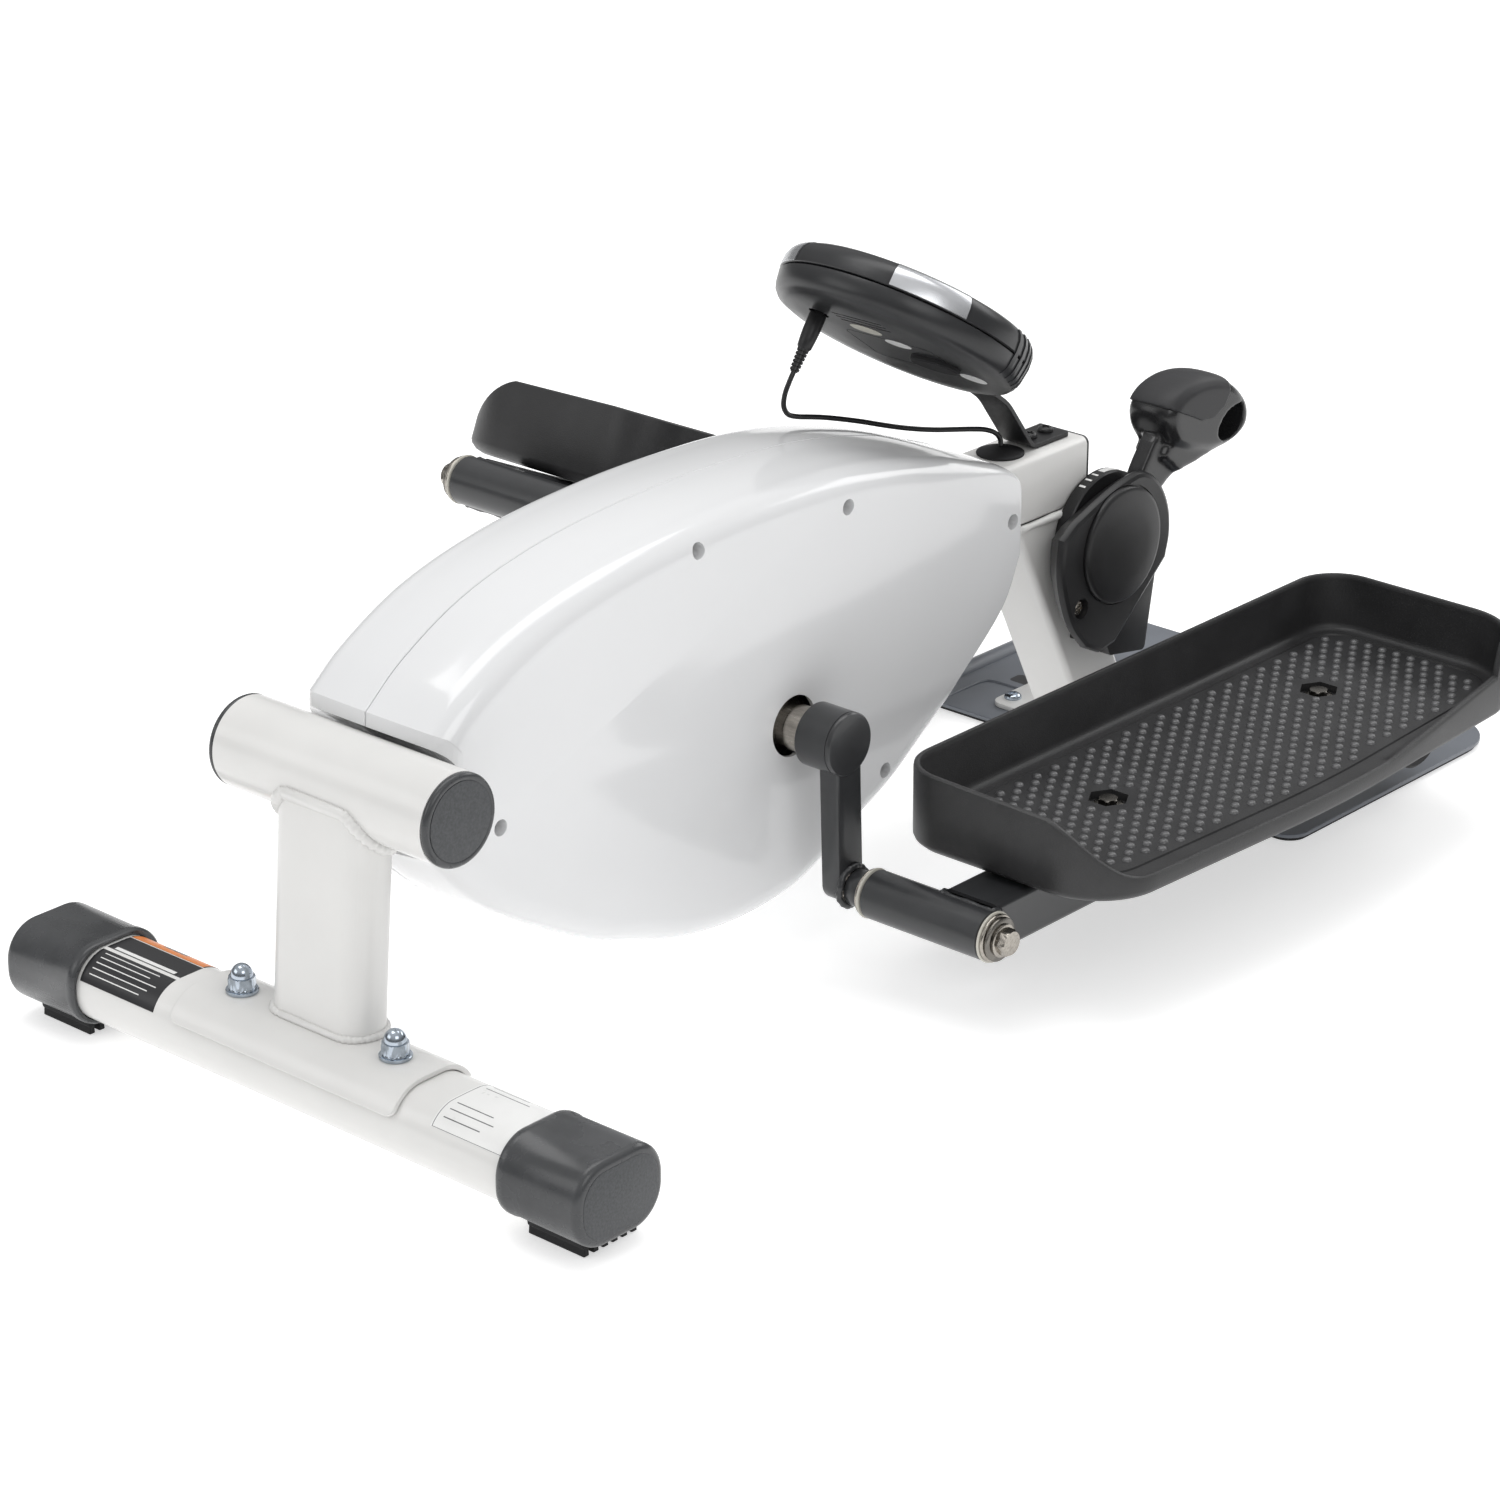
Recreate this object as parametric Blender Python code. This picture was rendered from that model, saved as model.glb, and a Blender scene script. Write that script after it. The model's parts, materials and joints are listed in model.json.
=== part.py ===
"""Pedal exerciser: a low elliptical machine that stands on the floor under a desk.

+X is the user's left, +Y points to the user and +Z is up. Dimensions are in millimetres, measured
from a point on the floor under the crank axle; objects are scaled to metres as they are made.
"""

import math

import bmesh
import bpy
from mathutils import Matrix, Vector

MM = 0.001
GAP = 0.3
ORIGIN_Y = 94.0

# Cranks and pedals
CRANK_Z = 139.4
CRANK_RADIUS = 84.5
CRANK_REST = 2.2
AXLE_R = 8.5
BOSS_R = 18.0
BOSS_X = (69.0, 94.5)
ARM_X = (80.0, 93.5)
ARM_HALF = 10.0
PIN_R = 6.0
PEDAL_TUBE_X = (110.0, 192.0)
PEDAL_TUBE_R = 14.0
RIGHT_PEDAL_PITCH = 24.7
PEDAL_ARM_X = (154.0, 190.0)
PEDAL_ARM_Z = (-14.0, 15.0)
PEDAL_ARM_END = 388.0
ROLLER_AT = (418.0, -16.0)
ROLLER_R = 22.0
ROLLER_X = (160.0, 184.0)
FORK_PLATE = 4.0

# Foot trays, in the pedal's own frame
TRAY_X = (96.0, 252.0)
TRAY_Y = (29.0, 439.0)
TRAY_FLOOR = (16.0, 29.0)
TRAY_RIM = 64.0
TRAY_LIP = 32.0
TRAY_WALL = 4.0
TRAY_BOLTS = ((165.0, 135.0), (160.0, 343.0))

# Frame
STABILIZER_AT = (-308.5, 31.0)
STABILIZER_TUBE = (56.0, 42.0)
STABILIZER_HALF = 204.0
CAP_X = (157.0, 213.0)
CAP_SECTION = (63.0, 47.0)
NUT_X = 57.0
SADDLE_HALF = 83.0
POST_SECTION = (70.0, 30.0)
CROSS_AT = (-280.0, 182.5)
CROSS_R = 25.0
CROSS_HALF = 75.5
SPINE = 40.0
SPINE_Z = 200.0
SPINE_Y = (-254.4, 299.5)
REAR_SLOPE = -0.4995
REAR_FOOT_Y = 320.1
REAR_DEPTH = 47.0
PLATE_Z = (2.5, 5.0)
FLANGE_TOP = 8.3

# Shell
SHELL_HALF = 54.0
SHELL_WALL = 2.5
SHELL_ROUND = 16.0
SHELL_CROWN = 3.0
CRANK_HOLE_R = 17.6

# Drive inside the shell
PULLEY_R = 74.0
SMALL_PULLEY_R = 25.0
PULLEY_X = (-50.0, -40.0)
BELT_X = (-49.0, -41.0)
FLYWHEEL_AT = (-165.0, 150.0)
FLYWHEEL_R = 66.0
FLYWHEEL_X = (26.0, 38.0)
MAGNET_PIVOT = (-117.4, 206.7)

# Console
CONSOLE_AT = (153.0, 322.5)
CONSOLE_TILT = 36.0
CONSOLE_R = 75.0
CONSOLE_HALF = 16.0
JACK_AT = (-32.0, -31.5)

# Tension control
TENSION_AT = (308.0, 158.0)
DRUM_X = (20.8, 30.0)
DRUM_R = 40.0
HOUSING_X = (30.5, 45.0)
DISC_AT = (303.0, 158.0)
DISC_R = 35.0
LEVER_X = (4.0, 40.0)

# Sensor cable, from the grommet on the spine to the jack plug under the console
CABLE_R = 1.5
CABLE_ROUTE = (
    (0.0, 243.0, 225.0), (0.0, 242.6, 229.0), (-1.0, 239.0, 233.5), (-3.0, 232.0, 236.8),
    (-5.0, 222.0, 239.2), (-8.0, 210.0, 241.4), (-11.0, 198.0, 243.6), (-15.0, 186.0, 246.2),
    (-19.0, 174.0, 249.4), (-23.0, 162.0, 253.2), (-27.0, 150.0, 257.2), (-31.0, 138.0, 260.8),
    (-34.0, 126.0, 264.2), (-35.5, 115.0, 267.0), (-36.0, 105.0, 269.6), (-35.5, 96.5, 273.2),
    (-34.0, 91.0, 279.5), (-32.6, 90.2, 287.0), (-32.0, 93.4, 294.0), (-32.0, 96.9, 298.8),
)


# Outlines ------------------------------------------------------------------------------------

def circle(radius, count=32, centre=(0.0, 0.0)):
    turns = [2 * math.pi * i / count for i in range(count)]
    return [(centre[0] + radius * math.cos(a), centre[1] + radius * math.sin(a)) for a in turns]


def hexagon(across, count=24):
    """A hexagon with as many points as a circle, so that the two can be skinned together."""
    points = []
    for i in range(count):
        angle = 2 * math.pi * i / count
        from_flat = (angle % (math.pi / 3)) - math.pi / 6
        radius = across / 2 / math.cos(from_flat)
        points.append((radius * math.cos(angle), radius * math.sin(angle)))
    return points


def fillet(corners, radii, steps=5):
    """A closed outline with each corner rounded to its own radius."""
    points = []
    for i, corner in enumerate(corners):
        here = Vector(corner)
        back = (Vector(corners[i - 1]) - here).normalized()
        ahead = (Vector(corners[(i + 1) % len(corners)]) - here).normalized()
        half = back.angle(ahead) / 2
        radius = radii[i] if isinstance(radii, (list, tuple)) else radii
        centre = here + (back + ahead).normalized() * radius / math.sin(half)
        start = here + back * radius / math.tan(half) - centre
        end = here + ahead * radius / math.tan(half) - centre
        sweep = math.atan2(start.x * end.y - start.y * end.x, start.dot(end))
        for k in range(steps + 1):
            turn = Matrix.Rotation(sweep * k / steps, 2)
            points.append(tuple(centre + turn @ start))
    return points


def rounded(width, height, radius, centre=(0.0, 0.0), steps=5):
    w, h = width / 2, height / 2
    corners = [(centre[0] + sx * w, centre[1] + sy * h) for sx, sy in ((1, 1), (-1, 1), (-1, -1), (1, -1))]
    return fillet(corners, radius, steps)


def smooth(points, steps=4):
    """Catmull-Rom curve through the points, open at both ends."""
    ends = [2 * Vector(points[0]) - Vector(points[1]), 2 * Vector(points[-1]) - Vector(points[-2])]
    p = [ends[0]] + [Vector(q) for q in points] + [ends[1]]
    curve = []
    for i in range(1, len(p) - 2):
        for k in range(steps):
            t = k / steps
            curve.append(tuple(0.5 * (2 * p[i] + (p[i + 1] - p[i - 1]) * t
                         + (2 * p[i - 1] - 5 * p[i] + 4 * p[i + 1] - p[i + 2]) * t * t
                         + (3 * p[i] - p[i - 1] - 3 * p[i + 1] + p[i + 2]) * t ** 3)))
    return curve + [tuple(p[-2])]


def inset(outline, distance):
    """Moves each edge of an anticlockwise outline inwards."""
    moved = []
    for i, point in enumerate(outline):
        here = Vector(point)
        before = (here - Vector(outline[i - 1])).normalized()
        after = (Vector(outline[(i + 1) % len(outline)]) - here).normalized()
        normal = Vector((-before.y - after.y, before.x + after.x)).normalized()
        share = max(0.4, normal.dot(Vector((-before.y, before.x))))
        moved.append(tuple(here + normal * distance / share))
    return moved


def strip(path, thickness):
    """Outline of a bent strip: the path on one side, and its offset on the other."""
    far = []
    for i, point in enumerate(path):
        here = Vector(point)
        before = (here - Vector(path[max(i - 1, 0)])).normalized()
        after = (Vector(path[min(i + 1, len(path) - 1)]) - here).normalized()
        normal = Vector((-before.y - after.y, before.x + after.x)).normalized()
        either = before if before.length else after
        far.append(tuple(here + normal * thickness / normal.dot(Vector((-either.y, either.x)))))
    return list(path) + far[::-1]


def across(outline, x):
    return [(x, a, b) for a, b in outline]


def along(outline, y):
    return [(a, y, b) for a, b in outline]


def level(outline, z):
    return [(a, b, z) for a, b in outline]


# Solids --------------------------------------------------------------------------------------

def loft(rings, loop=False):
    """Skins rings of matching points; its two ends are capped unless it closes on itself."""
    bm = bmesh.new()
    rows = [[bm.verts.new(point) for point in ring] for ring in rings]
    pairs = list(zip(rows, rows[1:]))
    if loop:
        pairs.append((rows[-1], rows[0]))
    for low, high in pairs:
        for i in range(len(low)):
            j = (i + 1) % len(low)
            bm.faces.new((low[i], low[j], high[j], high[i]))
    if not loop:
        bm.faces.new(rows[0][::-1])
        bm.faces.new(rows[-1])
    bmesh.ops.remove_doubles(bm, verts=bm.verts, dist=1e-4)
    bmesh.ops.recalc_face_normals(bm, faces=bm.faces)
    return bm


def prism(outline, low, high, place):
    return loft([place(outline, low), place(outline, high)])


def pipe(outer, inner, low, high, place):
    ends = [place(outer, low), place(outer, high), place(inner, high), place(inner, low)]
    return loft(ends, loop=True)


def turned(profile, place, centre=(0.0, 0.0), count=32, loop=False):
    """A round solid from (radius, station) pairs."""
    return loft([place(circle(r, count, centre), t) for r, t in profile], loop)


def block(x, y, z):
    corners = [(x[0], y[0]), (x[1], y[0]), (x[1], y[1]), (x[0], y[1])]
    return prism(corners, z[0], z[1], level)


def combine(first, second, operation):
    """Joins or cuts two solids and gives the result as a new mesh."""
    pair = []
    for bm in (first, second):
        mesh = bpy.data.meshes.new("scratch")
        bm.to_mesh(mesh)
        bm.free()
        obj = bpy.data.objects.new("scratch", mesh)
        bpy.context.scene.collection.objects.link(obj)
        pair.append(obj)
    boolean = pair[0].modifiers.new("combine", "BOOLEAN")
    boolean.operation = operation
    boolean.solver = "EXACT"
    boolean.object = pair[1]
    result = bmesh.new()
    result.from_object(pair[0], bpy.context.evaluated_depsgraph_get())
    for obj in pair:
        bpy.data.objects.remove(obj)
    return result


def union(first, *others):
    for other in others:
        first = combine(first, other, "UNION")
    return first


def cut(first, *others):
    for other in others:
        first = combine(first, other, "DIFFERENCE")
    return first


def sided(bm, side):
    """Leaves a solid on the user's left as it is, or mirrors it to the right."""
    if side < 0:
        bmesh.ops.scale(bm, verts=bm.verts, vec=(-1, 1, 1))
        bmesh.ops.reverse_faces(bm, faces=bm.faces)
    return bm


# Objects -------------------------------------------------------------------------------------

def paint(name, colour, roughness, metallic=0.0):
    material = bpy.data.materials.get(name) or bpy.data.materials.new(name)
    material.use_nodes = True
    shader = material.node_tree.nodes["Principled BSDF"]
    shader.inputs["Base Color"].default_value = (*colour, 1.0)
    shader.inputs["Roughness"].default_value = roughness
    shader.inputs["Metallic"].default_value = metallic
    material.diffuse_color = (*colour, 1.0)
    return material


def pivot(name, at=(0.0, 0.0, 0.0), parent=None, tilt=0.0):
    """An empty on a joint's axis, turned about X by tilt degrees."""
    empty = bpy.data.objects.new(name, None)
    empty.location = Vector(at) * MM
    empty.rotation_euler.x = math.radians(tilt)
    empty.parent = parent
    bpy.context.scene.collection.objects.link(empty)
    return empty


def add(name, bm, material, parent):
    bmesh.ops.scale(bm, verts=bm.verts, vec=(MM, MM, MM))
    mesh = bpy.data.meshes.new(name)
    bm.to_mesh(mesh)
    bm.free()
    mesh.materials.append(material)
    mesh.shade_smooth()
    mesh.set_sharp_from_angle(angle=math.radians(32))
    obj = bpy.data.objects.new(name, mesh)
    obj.parent = parent
    bpy.context.scene.collection.objects.link(obj)
    return obj


# Floor stand ---------------------------------------------------------------------------------

def stabilizer_tube():
    width, height = STABILIZER_TUBE
    outer = rounded(width, height, height / 2 - 0.5, STABILIZER_AT)
    inner = rounded(width - 4, height - 4, height / 2 - 2.5, STABILIZER_AT)
    return pipe(outer, inner, -STABILIZER_HALF, STABILIZER_HALF, across)


def stabilizer_cap(side):
    width, height = CAP_SECTION
    centre = (STABILIZER_AT[0], STABILIZER_AT[1] + 0.5)
    outer = rounded(width, height, 20.0, centre)
    tube = rounded(STABILIZER_TUBE[0] + 1, STABILIZER_TUBE[1] + 1, STABILIZER_TUBE[1] / 2 - 0.5, STABILIZER_AT)
    rings = [across(tube, 205.0), across(tube, CAP_X[0]), across(outer, CAP_X[0])]
    for step in range(4):
        angle = math.pi / 2 * step / 3
        rings.append(across(inset(outer, 7 - 7 * math.cos(angle)), CAP_X[1] - 7 + 7 * math.sin(angle)))
    return sided(loft(rings), side)


def stabilizer_pad(side):
    """A rubber foot whose sole is cut into ribs that run along the stabilizer."""
    y0, y1, ribs, groove = -324.0, -286.0, 6, 3.0
    pitch = (y1 - y0 + groove) / ribs
    sole = []
    for rib in range(ribs):
        start = y0 + rib * pitch
        sole += [(start, 3.0), (start, 0.0), (start + pitch - groove, 0.0), (start + pitch - groove, 3.0)]
    return sided(prism(sole + [(y1, 7.2), (y0, 7.2)], 164.0, 202.0, across), side)


def saddle_plate():
    """The bolted plate under the front post, bent over the stabilizer."""
    y, z = STABILIZER_AT
    r = STABILIZER_TUBE[1] / 2 - 0.5
    flat = STABILIZER_TUBE[0] / 2 - r
    path = []
    for sense in (1, -1):
        for step in range(6):
            angle = math.radians(25 + 65 * step / 5) if sense > 0 else math.radians(90 + 65 * step / 5)
            path.append((y + sense * flat + (r + GAP + 0.3) * math.cos(angle),
                         z + 0.5 + (r + GAP) * math.sin(angle)))
    return prism(strip(path[::-1], 3.0), -SADDLE_HALF, SADDLE_HALF, across)


def acorn_nut(side):
    base = STABILIZER_AT[1] + STABILIZER_TUBE[1] / 2 + 3.3 + 2 * GAP
    y = STABILIZER_AT[0]
    rings = [(circle(8.5, 24), 0.0), (circle(8.5, 24), 1.6), (hexagon(13.0), 1.6), (hexagon(13.0), 7.5)]
    for step in range(5):
        angle = math.radians(18 * step)
        rings.append((circle(6.2 * math.cos(angle) + 0.05, 24), 7.5 + 8.0 * math.sin(angle)))
    placed = [[(NUT_X + a, y + b, base + z) for a, b in ring] for ring, z in rings]
    return sided(loft(placed), side)


def front_post():
    """Oval tube, slightly raked, cut to a saddle where it meets the cross tube."""
    outer = rounded(*POST_SECTION, 14.5)
    inner = rounded(POST_SECTION[0] - 4, POST_SECTION[1] - 4, 12.5)
    low, high = (-300.0, 56.6), (-289.6, CROSS_AT[1])
    rings = [[(a, b + y, z) for a, b in ring] for ring, (y, z) in
             ((outer, low), (outer, high), (inner, high), (inner, low))]
    return cut(loft(rings, loop=True), turned([(CROSS_R + GAP, -60), (CROSS_R + GAP, 60)], across, CROSS_AT, 48))


def cross_tube():
    return pipe(circle(CROSS_R, 40, CROSS_AT), circle(CROSS_R - 2.5, 40, CROSS_AT), -CROSS_HALF, CROSS_HALF, across)


def cross_tube_plug(side):
    bore = CROSS_R - 2.8
    profile = [(bore, 62.0), (bore, CROSS_HALF + GAP), (CROSS_R, CROSS_HALF + GAP),
               (CROSS_R, CROSS_HALF + 2.2), (CROSS_R - 1.5, CROSS_HALF + 4.0)]
    return sided(turned(profile, across, CROSS_AT, 40), side)


# Spine and rear foot -------------------------------------------------------------------------

def spine_tube():
    outer = rounded(SPINE, SPINE, 4.0, (0.0, SPINE_Z), 3)
    inner = rounded(SPINE - 4, SPINE - 4, 2.5, (0.0, SPINE_Z), 3)
    return pipe(outer, inner, *SPINE_Y, along)


def spine_end_cap():
    plug = rounded(SPINE - 4.6, SPINE - 4.6, 2.0, (0.0, SPINE_Z), 3)
    face = rounded(SPINE, SPINE, 4.0, (0.0, SPINE_Z), 3)
    end = SPINE_Y[1] + GAP
    return loft([along(plug, end - 14), along(plug, end), along(face, end), along(face, end + 2.4)])


def keyhole(radius, neck, top, centre):
    """A ring with a neck that reaches up to the spine."""
    lean = math.asin(neck / radius)
    points = [(neck + centre[0], top), (-neck + centre[0], top)]
    start = math.pi / 2 + lean
    for i in range(30):
        angle = start + (2 * math.pi - 2 * lean) * i / 29
        points.append((centre[0] + radius * math.cos(angle), centre[1] + radius * math.sin(angle)))
    return points


def hanger(outer_r, bore_r, half, neck, centre):
    """A bearing tube welded under the spine on a short neck."""
    body = prism(keyhole(outer_r, neck, SPINE_Z - SPINE / 2 - GAP, centre), -half, half, across)
    bore = turned([(bore_r, -half - 1), (bore_r, half + 1)], across, centre)
    return cut(body, bore)


def crank_bearing(side):
    return sided(pipe(circle(17.5, 32, (0, CRANK_Z)), circle(AXLE_R + GAP, 32, (0, CRANK_Z)), 24.0, 34.0, across), side)


def rear_post():
    """Square tube that leans back from under the spine to the floor flange."""
    low, high = FLANGE_TOP + GAP, SPINE_Z - SPINE / 2 - GAP
    rings = []
    for wall in (0.0, 2.0):
        for z in (low, high) if wall == 0 else (high, low):
            front = REAR_FOOT_Y + (z - low) * REAR_SLOPE
            middle = (0.0, front + REAR_DEPTH / 2)
            rings.append(level(rounded(SPINE - 2 * wall, REAR_DEPTH - 2 * wall, 4.0 - wall, middle, 3), z))
    return loft(rings, loop=True)


def foot_flange():
    tee = [(24, 312), (24, 349), (88, 349), (88, 405), (-88, 405), (-88, 349), (-24, 349), (-24, 312)]
    return prism(fillet(tee, [5, 3, 8, 8, 8, 8, 3, 5], 3), PLATE_Z[1] + GAP, FLANGE_TOP, level)


def foot_screw(side):
    z = FLANGE_TOP + GAP
    profile = [(5.5, z), (5.5, z + 1.4), (4.2, z + 2.8), (1.8, z + 3.3)]
    return sided(turned(profile, level, (80.0, 362.0), 20), side)


def plate_outline():
    corners = [(174, 308), (174, 528), (-146, 528), (-146, 332), (-56, 332), (-34, 308)]
    return fillet(corners, [14, 34, 34, 14, 12, 12])


def base_plate():
    return prism(plate_outline(), *PLATE_Z, level)


def base_grip():
    return prism(inset(plate_outline(), 3.0), 0.0, PLATE_Z[0] - GAP, level)


# Shell ---------------------------------------------------------------------------------------

def shell_outline():
    """Side view of the casing: a long top arch, a flat back and a boat-shaped belly."""
    top = [(-268, 216), (-242, 236), (-200, 257), (-150, 270), (-90, 277), (-20, 279), (58, 275), (124, 262), (180, 242)]
    belly = [(200, 184), (185, 154.5), (154, 122), (135, 103.5), (96, 75), (63, 58.5), (26, 40.5), (-3, 32),
             (-44, 29.7), (-86, 35), (-118, 45), (-157, 59.5), (-216, 91.5), (-271, 129)]
    shoulder = [(189.5, 237.5), (197, 231.5), (200, 223)]
    ring = smooth(top, 3) + shoulder + smooth(belly, 3)
    return ring[::-1]


def shell_solid(half, start, extra):
    """One half of the casing as a solid, drawn in from the outline by extra all round."""
    outline = shell_outline()
    radius = SHELL_ROUND - extra
    flat = half - radius
    sections = [(start, 0.0), (flat / 2, SHELL_CROWN / 4), (flat, SHELL_CROWN)]
    for step in range(1, 5):
        angle = math.radians(22.5 * step)
        sections.append((flat + radius * math.sin(angle), SHELL_CROWN + radius * (1 - math.cos(angle))))
    return loft([across(inset(outline, extra + drop), x) for x, drop in sections])


def shell(side):
    outer = cut(shell_solid(SHELL_HALF, GAP, 0.0), turned([(28, -9), (28, 70)], across, CROSS_AT, 48))
    hollow = cut(shell_solid(SHELL_HALF - SHELL_WALL, -2.0, SHELL_WALL),
                 turned([(28 + SHELL_WALL, -9), (28 + SHELL_WALL, 70)], across, CROSS_AT, 48))
    slot = block((-9, SPINE / 2 + 0.6), (-256.5, 215), (SPINE_Z - SPINE / 2 - 0.6, SPINE_Z + SPINE / 2 + 0.6))
    hole = turned([(CRANK_HOLE_R, 30), (CRANK_HOLE_R, 70)], across, (0, CRANK_Z), 40)
    return sided(cut(outer, hollow, slot, hole), side)


# Crank and drive, around the crank axle ------------------------------------------------------

def crank_axle():
    profile = [(AXLE_R, -87), (AXLE_R, -68), (13, -68), (13, -56), (AXLE_R, -56),
               (AXLE_R, 56), (13, 56), (13, 68), (AXLE_R, 68), (AXLE_R, 87)]
    return turned(profile, across, count=24)


def crank_arm(side):
    """Boss, flat arm and pedal pin of one crank; the right one points up."""
    reach = -CRANK_RADIUS
    boss = turned([(BOSS_R - 1, BOSS_X[0]), (BOSS_R, BOSS_X[0] + 1), (BOSS_R, BOSS_X[1] - 2),
                   (BOSS_R - 2, BOSS_X[1])], across, count=32)
    bar = prism(rounded(2 * ARM_HALF, -reach + ARM_HALF, ARM_HALF - 0.01, (0, reach / 2 - ARM_HALF / 2 + 0.0)),
                *ARM_X, across)
    pin = turned([(PIN_R, ARM_X[0] + 4), (PIN_R, 96), (PIN_R + 4, 96), (PIN_R + 4, 107.5), (PIN_R, 107.5),
                  (PIN_R, 192.2)], across, (0, reach), 24)
    bore = turned([(AXLE_R + GAP, 60), (AXLE_R + GAP, 88)], across, count=24)
    arm = cut(union(boss, bar, pin), bore)
    if side < 0:
        bmesh.ops.rotate(arm, verts=arm.verts, matrix=Matrix.Rotation(math.pi, 3, "X"))
    return sided(arm, side)


def drive_pulley():
    x0, x1 = PULLEY_X
    bore = AXLE_R + GAP
    profile = [(bore, x1 + 2), (18, x1 + 2), (18, x1 - 3), (65, x1 - 3), (65, x1), (PULLEY_R, x1),
               (PULLEY_R, x0), (65, x0), (65, x0 + 3), (18, x0 + 3), (18, x0 - 0.8), (bore, x0 - 0.8)]
    return turned(profile, across, count=40, loop=True)


def belt_outline(extra):
    """The belt's path round both pulleys, at a height above them."""
    span = Vector((FLYWHEEL_AT[0], FLYWHEEL_AT[1] - CRANK_Z))
    heading = math.atan2(span.y, span.x)
    wrap = math.acos((PULLEY_R - SMALL_PULLEY_R) / span.length)
    points = []
    for i in range(25):
        angle = heading + wrap + (2 * math.pi - 2 * wrap) * i / 24
        radius = PULLEY_R + extra
        points.append((radius * math.cos(angle), CRANK_Z + radius * math.sin(angle)))
    for i in range(9):
        angle = heading - wrap + 2 * wrap * i / 8
        radius = SMALL_PULLEY_R + extra
        points.append((FLYWHEEL_AT[0] + radius * math.cos(angle), FLYWHEEL_AT[1] + radius * math.sin(angle)))
    return points


def drive_belt():
    return pipe(belt_outline(3.2), belt_outline(0.9), *BELT_X, across)


def pulley_shaft():
    x0, x1 = PULLEY_X
    profile = [(6, x0 - 1), (6, x0), (SMALL_PULLEY_R, x0), (SMALL_PULLEY_R, x1), (6, x1), (6, 44)]
    return turned(profile, across, count=28)


def flywheel():
    x0, x1 = FLYWHEEL_X
    profile = [(6.3, x1 + 3), (15, x1 + 3), (15, x1 - 4), (50, x1 - 4), (50, x1), (FLYWHEEL_R, x1),
               (FLYWHEEL_R, x0), (50, x0), (50, x0 + 4), (15, x0 + 4), (15, x0 - 3), (6.3, x0 - 3)]
    return turned(profile, across, count=40, loop=True)


def magnet_carriage():
    """The curved arm that holds the brake magnets over the flywheel's rim."""
    centre = Vector(FLYWHEEL_AT) - Vector(MAGNET_PIVOT)
    inner, outer = [], []
    for i in range(11):
        angle = math.radians(48 + 76 * i / 10)
        ray = Vector((math.cos(angle), math.sin(angle)))
        inner.append(tuple(centre + ray * (FLYWHEEL_R + 4)))
        outer.append(tuple(centre + ray * (FLYWHEEL_R + 13)))
    return prism(outer + inner[::-1], 24.0, 40.0, across)


# Pedals, around the pedal pin ----------------------------------------------------------------

def pedal_frame(side):
    """Pedal tube, its arm to the rear, and the fork at its end whose axle carries the roller."""
    x0, x1 = PEDAL_ARM_X
    z0, z1 = PEDAL_ARM_Z
    centre = ((x0 + x1) / 2, (z0 + z1) / 2)
    arm = pipe(rounded(x1 - x0, z1 - z0, 3.0, centre, 2), rounded(x1 - x0 - 4, z1 - z0 - 4, 1.5, centre, 2),
               7.0, PEDAL_ARM_END, along)
    tube = turned([(PEDAL_TUBE_R, PEDAL_TUBE_X[0]), (PEDAL_TUBE_R, PEDAL_TUBE_X[1])], across, count=28)
    y, z = ROLLER_AT
    side_plate = fillet([(y - 42, z0 + 3), (y - 10, z - 9), (y + 8, z - 9), (y + 8, z + 12), (y - 10, z1 - 3),
                         (y - 42, z1 - 3)], [2, 8, 7, 7, 8, 2], 3)
    plates = [prism(side_plate, x, x + FORK_PLATE, across) for x in (x0, x1 - FORK_PLATE)]
    axle = turned([(5, x0 + 1), (5, x1 - 1)], across, ROLLER_AT, 20)
    bore = turned([(PIN_R + GAP, 100), (PIN_R + GAP, 200)], across, count=24)
    return sided(cut(union(arm, tube, *plates, axle), bore), side)


def roller(side):
    y, z = 0.0, 0.0
    profile = [(5.3, ROLLER_X[0]), (ROLLER_R - 1.5, ROLLER_X[0]), (ROLLER_R, ROLLER_X[0] + 1.5),
               (ROLLER_R, ROLLER_X[1] - 1.5), (ROLLER_R - 1.5, ROLLER_X[1]), (5.3, ROLLER_X[1])]
    return sided(turned(profile, across, (y, z), 36, loop=True), side)


def pedal_bolt(side):
    x = PEDAL_TUBE_X[1] + GAP + 0.2
    rings = [(circle(11.5, 24), x), (circle(11.5, 24), x + 7.5), (hexagon(15.0), x + 7.5),
             (hexagon(15.0), x + 12.0), (circle(6.6, 24), x + 13.5)]
    solid = loft([[(t, a, b) for a, b in ring] for ring, t in rings])
    if side < 0:
        bmesh.ops.rotate(solid, verts=solid.verts, matrix=Matrix.Rotation(math.pi, 3, "X"))
    return sided(solid, side)


def tray_outline():
    """Plan of a foot tray: straight on the inner side, gently bowed on the outer one."""
    corners = [(TRAY_X[0], TRAY_Y[0]), (TRAY_X[1] - 6, TRAY_Y[0]), (TRAY_X[1], (TRAY_Y[0] + TRAY_Y[1]) / 2),
               (TRAY_X[1] - 6, TRAY_Y[1]), (TRAY_X[0], TRAY_Y[1])]
    return fillet(corners, [30.0, 45.0, 400.0, 45.0, 30.0], 7)


def rim_height(x):
    """The wall is tall on the inner side and both ends, and drops to a low lip on the outer side."""
    share = min(1.0, max(0.0, (x - 196.0) / 48.0))
    return TRAY_RIM + (TRAY_LIP - TRAY_RIM) * share * share * (3 - 2 * share)


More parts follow.
